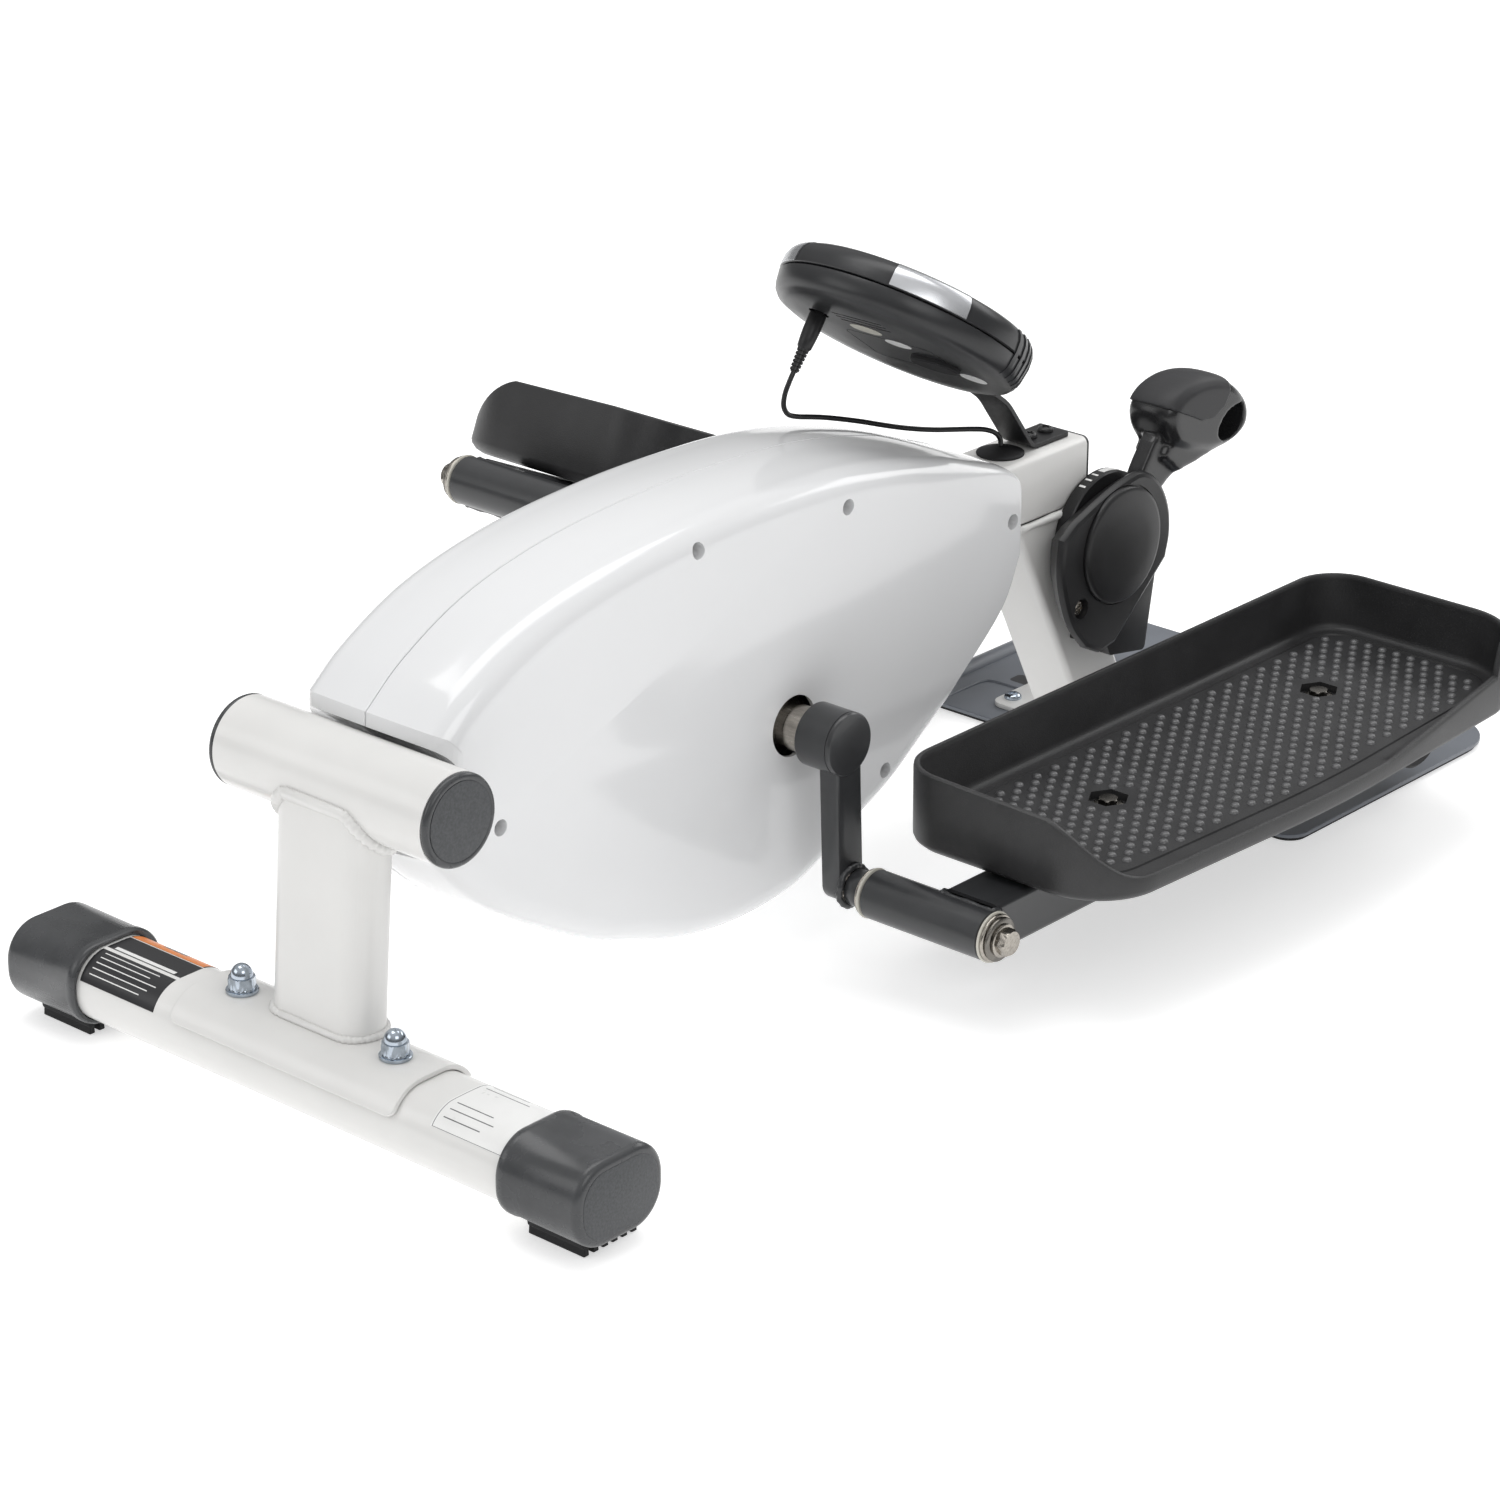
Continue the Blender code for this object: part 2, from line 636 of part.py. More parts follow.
def foot_tray(side):
    outline = tray_outline()
    z0, floor = TRAY_FLOOR
    rings = [level(inset(outline, 3.0), z0), level(outline, z0 + 4)]
    rings.append([(x, y, rim_height(x)) for x, y in outline])
    inner = inset(outline, TRAY_WALL)
    rings.append([(a, b, rim_height(x)) for (a, b), (x, y) in zip(inner, outline)])
    rings.append(level(inset(outline, TRAY_WALL + 1.5), floor))
    tray = loft(rings)
    for spot in TRAY_BOLTS:
        tray = cut(tray, turned([(4.4, z0 - 2), (4.4, 24), (9.5, 24), (9.5, floor + 3)], level, spot, 24))
    return sided(tray, side)


def tray_bolt(side, spot):
    z0 = TRAY_FLOOR[0]
    rings = [(circle(4, 24), z0 - 0.6), (circle(4, 24), 24.3), (circle(8, 24), 24.3), (circle(8, 24), 25.5),
             (hexagon(11), 25.5), (hexagon(11), 28.6)]
    return sided(loft([[(spot[0] + a, spot[1] + b, z) for a, b in ring] for ring, z in rings]), side)


# Console, around its centre ------------------------------------------------------------------

def console_bottom():
    """Lower half of the case, with a slot for the bracket and a socket for the jack."""
    r, low = CONSOLE_R, -CONSOLE_HALF
    profile = [(r - 16, low + 2.5), (r - 2.5, -4), (r - 2.5, 0), (r, 0), (r, -6), (r - 2.5, low + 5),
               (r - 9, low + 1.2), (r - 16, low)]
    cup = turned(profile, level, count=56)
    slot = block((-12, 12), (40, 80), (-9.2, -3.4))
    socket = turned([(3.8, low - 3), (3.8, low + 8)], level, JACK_AT, 20)
    return cut(cup, slot, socket)


def console_top():
    r, high = CONSOLE_R, CONSOLE_HALF
    profile = [(r - 10, high - 2.5), (r - 2.5, high - 8), (r - 2.5, GAP), (r, GAP), (r, high - 8),
               (r - 3, high - 3), (r - 9, high - 0.4), (r - 16, high)]
    cup = turned(profile, level, count=56)
    window = prism(rounded(74, 46, 6, (0, -10)), high - 6, high + 6, level)
    key = turned([(10.3, high - 6), (10.3, high + 6)], level, (0, 34), 28)
    return cut(cup, window, key)


def console_lens():
    return prism(rounded(73.4, 45.4, 5.7, (0, -10)), CONSOLE_HALF - 2.4, CONSOLE_HALF - 0.6, level)


def mode_key():
    return turned([(8.5, -5.5), (10, -5), (10, 0.6), (9, 1.6)], level, count=28)


def jack_plug():
    """Plug body, strain relief and the tip in the socket, pointing out of the underside."""
    low = -CONSOLE_HALF
    profile = [(2.8, low + 3), (2.8, low - 1.0), (4.8, low - 1.0), (4.9, low - 12), (4.4, low - 22), (3.4, low - 23),
               (3.2, low - 30), (2.6, low - 34)]
    return turned(profile, level, JACK_AT, 20)


def in_console(y, z):
    """A point of the console's own mid-plane, in the frame's Y and Z."""
    tilt = math.radians(CONSOLE_TILT)
    return (CONSOLE_AT[0] + y * math.cos(tilt) + z * math.sin(tilt),
            CONSOLE_AT[1] - y * math.sin(tilt) + z * math.cos(tilt))


def console_bracket():
    """A bent strip: foot on the spine, riser, and a tongue that runs into the console."""
    top = SPINE_Z + SPINE / 2 + GAP
    path = [(293.0, top + 3.0), (261.5, top + 3.0), in_console(107.5, -4.8), in_console(46.0, -4.8)]
    return prism(strip(path, 3.0), -11.0, 11.0, across)


def bracket_screw(y):
    z = SPINE_Z + SPINE / 2 + 3 + 3 * GAP
    return turned([(4.5, z), (4.5, z + 1.2), (3.2, z + 2.4), (1.5, z + 2.8)], level, (0.0, y), 20)


def cable_grommet():
    z = SPINE_Z + SPINE / 2 + GAP
    profile = [(14.0, z), (14.0, z + 1.0), (10.5, z + 2.8), (5.0, z + 4.2), (2.2, z + 4.4)]
    return turned(profile, level, (0.0, 243.0), 32)


def sensor_cable(material, parent):
    """The cord from the grommet to the jack plug, as a round curve through the route."""
    route = smooth(CABLE_ROUTE, 3)
    curve = bpy.data.curves.new("sensor_cable", "CURVE")
    curve.dimensions = "3D"
    curve.bevel_depth = CABLE_R * MM
    curve.bevel_resolution = 2
    curve.use_fill_caps = True
    spline = curve.splines.new("POLY")
    spline.points.add(len(route) - 1)
    for point, place in zip(spline.points, route):
        point.co = (*(Vector(place) * MM), 1.0)
    curve.materials.append(material)
    obj = bpy.data.objects.new("sensor_cable", curve)
    obj.parent = parent
    bpy.context.scene.collection.objects.link(obj)


# Tension control -----------------------------------------------------------------------------

def tension_housing():
    """Cover on the side of the rear post, with the pin that the drum turns on."""
    crown = smooth([(246, 128), (241, 150), (247, 176), (272, 190), (300, 199), (322, 200), (342, 187), (350, 163),
                    (346, 132)], 3)
    outline = (crown + [(334, 89), (300, 98), (284, 94), (262, 107)])[::-1]
    x0, x1 = HOUSING_X
    cover = loft([across(outline, x0), across(outline, x1 - 3), across(inset(outline, 3.0), x1)])
    foot = block((SPINE / 2 + GAP, x0 + 2), (288, 328), (97, 112))
    pin = turned([(5, SPINE / 2 + GAP), (5, x0 + 2)], across, TENSION_AT, 20)
    return union(cover, foot, pin)


def tension_disc():
    x = HOUSING_X[1] + GAP
    profile = [(DISC_R, x), (DISC_R, x + 3), (DISC_R - 2.5, x + 6), (DISC_R - 10, x + 8.4), (6, x + 9.5)]
    return turned(profile, across, DISC_AT, 40)


def tension_drum():
    x0, x1 = DRUM_X
    profile = [(5.4, x0), (DRUM_R, x0), (DRUM_R, x1), (5.4, x1)]
    return turned(profile, across, count=40, loop=True)


def tension_lever():
    """Neck and hand grip with its finger hole, in the lever's own frame."""
    y, z = TENSION_AT
    grip = [(363, 202), (355, 212), (353, 224), (366, 234), (384, 238), (405, 236), (424, 228), (437, 214),
            (441, 203), (434, 193), (421, 188), (406, 186), (391, 186), (380, 188)]
    grip = [(a - y, b - z) for a, b in smooth(grip, 2)][::-1]
    x0, x1 = LEVER_X
    body = loft([across(inset(grip, 6), x0), across(inset(grip, 1.8), x0 + 3), across(grip, x0 + 8),
                 across(grip, x1 - 8), across(inset(grip, 1.8), x1 - 3), across(inset(grip, 6), x1)])
    neck = [(341.0, 184.5), (350.5, 171.0), (371, 174), (392, 184), (388, 200), (360, 206)]
    neck = prism([(a - y, b - z) for a, b in neck], DRUM_X[0], DRUM_X[1], across)
    hole = [(418 - y + 11 * math.cos(a), 204 - z + 9.5 * math.sin(a))
            for a in (math.pi * i / 12 for i in range(24))]
    return cut(union(body, neck), prism(hole, x0 - 3, x1 + 3, across))


# Assembly ------------------------------------------------------------------------------------

def main():
    for obj in list(bpy.data.objects):
        bpy.data.objects.remove(obj)
    frame_white = paint("frame_white", (0.66, 0.65, 0.61), 0.35)
    shell_white = paint("shell_white", (0.86, 0.86, 0.87), 0.12)
    cap_black = paint("cap_black", (0.055, 0.058, 0.06), 0.45)
    rubber = paint("pad_rubber", (0.03, 0.03, 0.032), 0.8)
    tray_black = paint("tray_black", (0.032, 0.032, 0.034), 0.6)
    arm_grey = paint("arm_grey", (0.07, 0.07, 0.075), 0.4)
    plate_grey = paint("plate_grey", (0.13, 0.14, 0.155), 0.3)
    zinc = paint("zinc", (0.62, 0.66, 0.7), 0.22, 1.0)
    steel = paint("steel", (0.5, 0.49, 0.47), 0.3, 1.0)
    iron = paint("flywheel_iron", (0.2, 0.2, 0.21), 0.5, 1.0)
    plastic = paint("drive_plastic", (0.12, 0.12, 0.13), 0.5)
    console_grey = paint("console_grey", (0.075, 0.08, 0.085), 0.4)
    lens = paint("lens", (0.02, 0.025, 0.025), 0.08)
    cable_black = paint("cable_black", (0.02, 0.02, 0.02), 0.5)

    root = pivot("exerciser", (0, -ORIGIN_Y, 0))
    add("stabilizer_tube", stabilizer_tube(), frame_white, root)
    add("saddle_plate", saddle_plate(), frame_white, root)
    add("front_post", front_post(), frame_white, root)
    add("cross_tube", cross_tube(), frame_white, root)
    add("spine_tube", spine_tube(), frame_white, root)
    add("spine_end_cap", spine_end_cap(), cap_black, root)
    add("bottom_bracket", hanger(20.5, 17.8, 34.0, 12.0, (0, CRANK_Z)), frame_white, root)
    add("flywheel_hanger", hanger(12.0, 6.3, 10.0, 8.0, FLYWHEEL_AT), frame_white, root)
    add("rear_post", rear_post(), frame_white, root)
    add("foot_flange", foot_flange(), frame_white, root)
    add("base_plate", base_plate(), plate_grey, root)
    add("base_grip", base_grip(), rubber, root)
    add("drive_belt", drive_belt(), rubber, root)
    for side, hand in ((1, "left"), (-1, "right")):
        add(f"stabilizer_cap_{hand}", stabilizer_cap(side), cap_black, root)
        add(f"stabilizer_pad_{hand}", stabilizer_pad(side), rubber, root)
        add(f"acorn_nut_{hand}", acorn_nut(side), zinc, root)
        add(f"cross_tube_plug_{hand}", cross_tube_plug(side), cap_black, root)
        add(f"crank_bearing_{hand}", crank_bearing(side), steel, root)
        add(f"shell_{hand}", shell(side), shell_white, root)
        add(f"foot_screw_{hand}", foot_screw(side), zinc, root)

    crank = pivot("crank", (0, 0, CRANK_Z), root, CRANK_REST)
    add("crank_axle", crank_axle(), steel, crank)
    add("drive_pulley", drive_pulley(), plastic, crank)
    for side, hand, pitch in ((1, "left", 0.0), (-1, "right", RIGHT_PEDAL_PITCH)):
        pin_z = -side * CRANK_RADIUS
        add(f"crank_arm_{hand}", crank_arm(side), arm_grey, crank)
        bolt = add(f"pedal_bolt_{hand}", pedal_bolt(side), zinc, crank)
        bolt.location.z = pin_z * MM
        pedal = pivot(f"pedal_{hand}", (0, 0, pin_z), crank, -CRANK_REST - pitch)
        add(f"pedal_frame_{hand}", pedal_frame(side), arm_grey, pedal)
        add(f"foot_tray_{hand}", foot_tray(side), tray_black, pedal)
        for spot, place in zip(TRAY_BOLTS, ("front", "rear")):
            add(f"tray_bolt_{hand}_{place}", tray_bolt(side, spot), steel, pedal)
        wheel = pivot(f"roller_axis_{hand}", (0, *ROLLER_AT), pedal)
        add(f"roller_{hand}", roller(side), rubber, wheel)

    spin = pivot("flywheel_axis", (0, *FLYWHEEL_AT), root)
    add("flywheel", flywheel(), iron, spin)
    add("pulley_shaft", pulley_shaft(), steel, spin)
    swing = pivot("magnet_axis", (0, *MAGNET_PIVOT), root)
    add("magnet_carriage", magnet_carriage(), plastic, swing)

    console = pivot("console", (0, *CONSOLE_AT), root, -CONSOLE_TILT)
    add("console_bottom", console_bottom(), console_grey, console)
    add("console_top", console_top(), console_grey, console)
    add("console_lens", console_lens(), lens, console)
    add("jack_plug", jack_plug(), cable_black, console)
    press = pivot("key_axis", (0, 34, CONSOLE_HALF), console)
    add("mode_key", mode_key(), console_grey, press)
    add("console_bracket", console_bracket(), cap_black, root)
    add("bracket_screw_front", bracket_screw(270.0), cap_black, root)
    add("bracket_screw_rear", bracket_screw(285.0), cap_black, root)
    add("cable_grommet", cable_grommet(), rubber, root)
    sensor_cable(cable_black, root)

    add("tension_housing", tension_housing(), tray_black, root)
    add("tension_disc", tension_disc(), tray_black, root)
    lever = pivot("lever", (0, *TENSION_AT), root)
    add("tension_drum", tension_drum(), tray_black, lever)
    add("tension_lever", tension_lever(), tray_black, lever)


main()
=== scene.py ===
"""Looks of the pedal exerciser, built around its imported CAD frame.

Lengths in the builders are in millimetres, in one of the local frames below, whose X is the user's
left, Y points to the user and Z is up; each frame's matrix turns them into metres in the row frame.
"""

import json
import math

import bmesh
import bpy
from mathutils import Matrix, Vector


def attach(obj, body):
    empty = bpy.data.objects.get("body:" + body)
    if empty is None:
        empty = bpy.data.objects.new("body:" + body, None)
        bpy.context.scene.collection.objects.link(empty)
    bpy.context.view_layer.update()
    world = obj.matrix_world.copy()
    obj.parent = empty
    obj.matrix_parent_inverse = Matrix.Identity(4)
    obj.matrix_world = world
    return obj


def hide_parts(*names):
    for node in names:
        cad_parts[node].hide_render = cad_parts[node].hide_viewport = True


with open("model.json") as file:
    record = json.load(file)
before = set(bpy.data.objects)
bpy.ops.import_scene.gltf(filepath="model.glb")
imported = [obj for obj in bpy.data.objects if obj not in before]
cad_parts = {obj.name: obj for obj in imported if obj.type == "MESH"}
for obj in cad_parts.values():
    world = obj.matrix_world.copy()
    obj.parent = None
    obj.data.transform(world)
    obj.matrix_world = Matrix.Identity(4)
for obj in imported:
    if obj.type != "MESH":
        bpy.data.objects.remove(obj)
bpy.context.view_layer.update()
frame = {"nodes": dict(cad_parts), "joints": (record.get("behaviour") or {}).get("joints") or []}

MM = 0.001
JOINTS = {joint["name"]: joint for joint in frame["joints"]}


def joint_at(name):
    return Vector(JOINTS[name]["pos_m"])


def local(origin, tilt=0.0):
    """A frame at a point of the row, turned about X by tilt radians, that reads millimetres."""
    return Matrix.Translation(origin) @ Matrix.Rotation(tilt, 4, "X") @ Matrix.Scale(MM, 4)


# Frames and sizes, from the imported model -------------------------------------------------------
CRANK = joint_at("crank_turn")
PINS = {1: joint_at("left_pedal_pitch"), -1: joint_at("right_pedal_pitch")}
ROLLERS = {1: joint_at("left_roller_spin"), -1: joint_at("right_roller_spin")}
LEVER = joint_at("lever_turn")
MACHINE = local(Vector((0, CRANK.y, 0)))
CRANK_Z = CRANK.z / MM
CRANK_RADIUS = (PINS[1] - CRANK).yz.length / MM
CRANK_REST = math.atan2(PINS[1].y - CRANK.y, CRANK.z - PINS[1].z)
CRANK_FRAME = local(Vector((0, CRANK.y, CRANK.z)), CRANK_REST)


def heading(side):
    reach = ROLLERS[side] - PINS[side]
    return math.atan2(reach.z, reach.y)


PEDAL_FRAMES = {side: local(Vector((0, *PINS[side].yz)), heading(side) - heading(1)) for side in PINS}
LEVER_FRAME = local(Vector((0, LEVER.y, LEVER.z)))
CONSOLE_AT = (153.0, 322.5)
CONSOLE_TILT = math.radians(36.0)
CONSOLE = MACHINE @ Matrix.Translation((0, *CONSOLE_AT)) @ Matrix.Rotation(-CONSOLE_TILT, 4, "X")
CONSOLE_R = 75.0
CONSOLE_HALF = 16.0
JACK_AT = (-32.0, -31.5)
HANDS = {1: "left", -1: "right"}


# Outlines --------------------------------------------------------------------------------------

def ellipse(radii, count=48, centre=(0.0, 0.0)):
    turns = [2 * math.pi * i / count for i in range(count)]
    return [(centre[0] + radii[0] * math.cos(a), centre[1] + radii[1] * math.sin(a)) for a in turns]


def circle(radius, count=48, centre=(0.0, 0.0)):
    return ellipse((radius, radius), count, centre)


def hexagon(across_flats, count=48, centre=(0.0, 0.0)):
    points = []
    for i in range(count):
        angle = 2 * math.pi * i / count
        radius = across_flats / 2 / math.cos((angle % (math.pi / 3)) - math.pi / 6)
        points.append((centre[0] + radius * math.cos(angle), centre[1] + radius * math.sin(angle)))
    return points


def fillet(corners, radii, steps=8):
    points = []
    for i, corner in enumerate(corners):
        here = Vector(corner)
        back = (Vector(corners[i - 1]) - here).normalized()
        ahead = (Vector(corners[(i + 1) % len(corners)]) - here).normalized()
        half = back.angle(ahead) / 2
        radius = radii[i] if isinstance(radii, (list, tuple)) else radii
        centre = here + (back + ahead).normalized() * radius / math.sin(half)
        start = here + back * radius / math.tan(half) - centre
        end = here + ahead * radius / math.tan(half) - centre
        sweep = math.atan2(start.x * end.y - start.y * end.x, start.dot(end))
        for k in range(steps + 1):
            points.append(tuple(centre + Matrix.Rotation(sweep * k / steps, 2) @ start))
    return points


def rounded(width, height, radius, centre=(0.0, 0.0), steps=8):
    (x, y), w, h = centre, width / 2, height / 2
    return fillet([(x + w, y + h), (x - w, y + h), (x - w, y - h), (x + w, y - h)], radius, steps)


def smooth(points, steps=6):
    """Catmull-Rom curve through the points, in any number of dimensions."""
    ends = [2 * Vector(points[0]) - Vector(points[1]), 2 * Vector(points[-1]) - Vector(points[-2])]
    p = [ends[0]] + [Vector(q) for q in points] + [ends[1]]
    curve = []
    for i in range(1, len(p) - 2):
        for k in range(steps):
            t = k / steps
            curve.append(tuple(0.5 * (2 * p[i] + (p[i + 1] - p[i - 1]) * t
                         + (2 * p[i - 1] - 5 * p[i] + 4 * p[i + 1] - p[i + 2]) * t * t
                         + (3 * p[i] - p[i - 1] - 3 * p[i + 1] + p[i + 2]) * t ** 3)))
    return curve + [tuple(p[-2])]


def dense(outline, steps):
    """The closed outline with each of its sides divided into equal steps."""
    return [tuple(Vector(a).lerp(Vector(b), k / steps)) for a, b in zip(outline, outline[1:] + outline[:1])
            for k in range(steps)]


def inset(outline, distance):
    moved = []
    for i, point in enumerate(outline):
        here = Vector(point)
        before = (here - Vector(outline[i - 1])).normalized()
        after = (Vector(outline[(i + 1) % len(outline)]) - here).normalized()
        normal = Vector((-before.y - after.y, before.x + after.x)).normalized()
        share = max(0.4, normal.dot(Vector((-before.y, before.x))))
        moved.append(tuple(here + normal * distance / share))
    return moved


def strip(path, thickness):
    far = []
    for i, point in enumerate(path):
        here = Vector(point)
        before = (here - Vector(path[max(i - 1, 0)])).normalized()
        after = (Vector(path[min(i + 1, len(path) - 1)]) - here).normalized()
        normal = Vector((-before.y - after.y, before.x + after.x)).normalized()
        either = before if before.length else after
        far.append(tuple(here + normal * thickness / normal.dot(Vector((-either.y, either.x)))))
    return list(path) + far[::-1]


def across(outline, x):
    return [(x, a, b) for a, b in outline]


def along(outline, y):
    return [(a, y, b) for a, b in outline]


def level(outline, z):
    return [(a, b, z) for a, b in outline]


# Meshes ----------------------------------------------------------------------------------------

def loft(rings, loop=False, caps=True):
    bm = bmesh.new()
    rows = [[bm.verts.new(point) for point in ring] for ring in rings]
    pairs = list(zip(rows, rows[1:]))
    if loop:
        pairs.append((rows[-1], rows[0]))
    for low, high in pairs:
        for i in range(len(low)):
            j = (i + 1) % len(low)
            bm.faces.new((low[i], low[j], high[j], high[i]))
    if not loop and caps:
        bm.faces.new(rows[0][::-1])
        bm.faces.new(rows[-1])
    bmesh.ops.remove_doubles(bm, verts=bm.verts, dist=1e-4)
    bmesh.ops.recalc_face_normals(bm, faces=bm.faces)
    return bm


def prism(outline, low, high, place, edge=0.0):
    """An extruded outline; edge rounds its two rims."""
    if not edge:
        return loft([place(outline, low), place(outline, high)])
    steps = ((1.0, 0.0), (0.3, 0.3), (0.0, 1.0))
    lower = [place(inset(outline, edge * drop), low + edge * rise) for drop, rise in steps]
    upper = [place(inset(outline, edge * drop), high - edge * rise) for drop, rise in steps[::-1]]
    return loft(lower + upper)


def pipe(outer, inner, low, high, place):
    return loft([place(outer, low), place(outer, high), place(inner, high), place(inner, low)], loop=True)


def slab(low, high):
    """A closed sheet between two grids of points that have the same rows and columns."""
    bm = bmesh.new()
    low, high = [[[bm.verts.new(point) for point in row] for row in grid] for grid in (low, high)]
    columns = range(len(low[0]) - 1)
    for k in range(len(low) - 1):
        for i in columns:
            for grid in (low, high):
                bm.faces.new((grid[k][i], grid[k][i + 1], grid[k + 1][i + 1], grid[k + 1][i]))
        for i in (0, -1):
            bm.faces.new((low[k][i], high[k][i], high[k + 1][i], low[k + 1][i]))
    for k in (0, -1):
        for i in columns:
            bm.faces.new((low[k][i], low[k][i + 1], high[k][i + 1], high[k][i]))
    bmesh.ops.recalc_face_normals(bm, faces=bm.faces)
    return bm


def turned(profile, place, centre=(0.0, 0.0), count=48, loop=False):
    return loft([place(circle(r, count, centre), t) for r, t in profile], loop)


def rod(radius, low, high, place, centre=(0.0, 0.0), count=48):
    return turned([(radius, low), (radius, high)], place, centre, count)


def collar(bore, radius, low, high, soft):
    """The profile of a washer whose two outer rims are chamfered."""
    return [(bore, low), (radius - soft, low), (radius, low + soft), (radius, high - soft), (radius - soft, high),
            (bore, high)]


def block(x, y, z):
    return prism([(x[0], y[0]), (x[1], y[0]), (x[1], y[1]), (x[0], y[1])], z[0], z[1], level)


def mesh_of(bm, name="scratch"):
    mesh = bpy.data.meshes.new(name)
    bm.to_mesh(mesh)
    bm.free()
    return mesh


def add(name, data):
    obj = bpy.data.objects.new(name, data)
    bpy.context.scene.collection.objects.link(obj)
    return obj


def evaluated(obj):
    """The object's mesh with its modifiers applied; the object itself goes away."""
    result = bmesh.new()
    result.from_object(obj, bpy.context.evaluated_depsgraph_get())
    bpy.data.objects.remove(obj)
    return result


def combine(first, second, operation):
    target, tool = [add("scratch", mesh_of(bm)) for bm in (first, second)]
    boolean = target.modifiers.new("combine", "BOOLEAN")
    boolean.operation = operation
    boolean.solver = "EXACT"
    boolean.object = tool
    result = evaluated(target)
    bpy.data.objects.remove(tool)
    return result


def union(first, *others):
    for other in others:
        first = combine(first, other, "UNION")
    return first


def cut(first, *others):
    for other in others:
        first = combine(first, other, "DIFFERENCE")
    return first


def gather(*meshes):
    """Several separate closed bodies in one mesh."""
    whole = bmesh.new()
    for bm in meshes:
        mesh = mesh_of(bm)
        whole.from_mesh(mesh)
        bpy.data.meshes.remove(mesh)
    return whole


def soften(bm, voxel, rounds):
    """Joins overlapping bodies into one skin and relaxes it, so that they flow into each other."""
    obj = add("scratch", mesh_of(bm))
    skin = obj.modifiers.new("skin", "REMESH")
    skin.mode = "VOXEL"
    skin.voxel_size = voxel
    relax = obj.modifiers.new("relax", "SMOOTH")
    relax.factor = 0.5
    relax.iterations = rounds
    return evaluated(obj)


def moved(bm, x=0.0, y=0.0, z=0.0, turn=None):
    matrix = Matrix.Translation((x, y, z))
    if turn is not None:
        matrix = matrix @ turn
    bmesh.ops.transform(bm, matrix=matrix, verts=bm.verts)
    return bm


def sided(bm, side):
    if side < 0:
        bmesh.ops.scale(bm, verts=bm.verts, vec=(-1, 1, 1))
        bmesh.ops.reverse_faces(bm, faces=bm.faces)
    return bm


def slot_of(material):
    """The slot that a material is named after, without the number that tells it from the CAD's own."""
    return material.name.split(".")[0]


def piece(name, bm, material, body="frame", at=MACHINE, slot=None, sharp=35, bevel=0.0):
    """Turns a mesh into a visible piece that rides on a body."""
    bm.transform(at)
    mesh = mesh_of(bm, name)
    mesh.materials.append(material)
    mesh.shade_smooth()
    mesh.set_sharp_from_angle(angle=math.radians(sharp))
    obj = add(name, mesh)
    if bevel:
        rim = obj.modifiers.new("rim", "BEVEL")
        rim.width = bevel * MM
        rim.segments = 2
        rim.limit_method = "ANGLE"
        rim.angle_limit = math.radians(sharp)
        rim.harden_normals = True
    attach(obj, body)
    slot or slot_of(material)
    return obj


def skin(node, *args, **looks):
    """A piece that takes the place of a CAD node."""
    obj = piece(f"visual_{node}", *args, **looks)
    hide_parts(node)
    return obj


def strand(name, path, radius, material, body="frame", at=MACHINE, closed=True, ripple=0.16,
           resolution=3):
    """A round strand along a path: a weld bead with overlapping ripples, or a plain cord without them."""
    curve = bpy.data.curves.new(name, "CURVE")
    curve.dimensions = "3D"
    curve.bevel_depth = radius * MM
    curve.bevel_resolution = resolution
    curve.use_fill_caps = True
    spline = curve.splines.new("POLY")
    spline.points.add(len(path) - 1)
    for i, (point, place) in enumerate(zip(spline.points, path)):
        point.co = (*(at @ Vector(place)), 1.0)
        point.radius = 1.0 + ripple * math.sin(i * 1.9) + 0.5 * ripple * math.sin(i * 0.37)
    spline.use_cyclic_u = closed
    spline.use_smooth = True
    curve.materials.append(material)
    obj = add(name, curve)
    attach(obj, body)
    return obj


# Materials -------------------------------------------------------------------------------------

def feed(node, inputs):
    """Sets each named input of a shader node, or links it where it takes another node's output."""
    for name, value in inputs.items():
        if isinstance(value, bpy.types.NodeSocket):
            node.id_data.links.new(value, node.inputs[name])
        else:
            node.inputs[name].default_value = value
    return node


def shader(tree, kind, inputs):
    return feed(tree.nodes.new("ShaderNode" + kind), inputs)


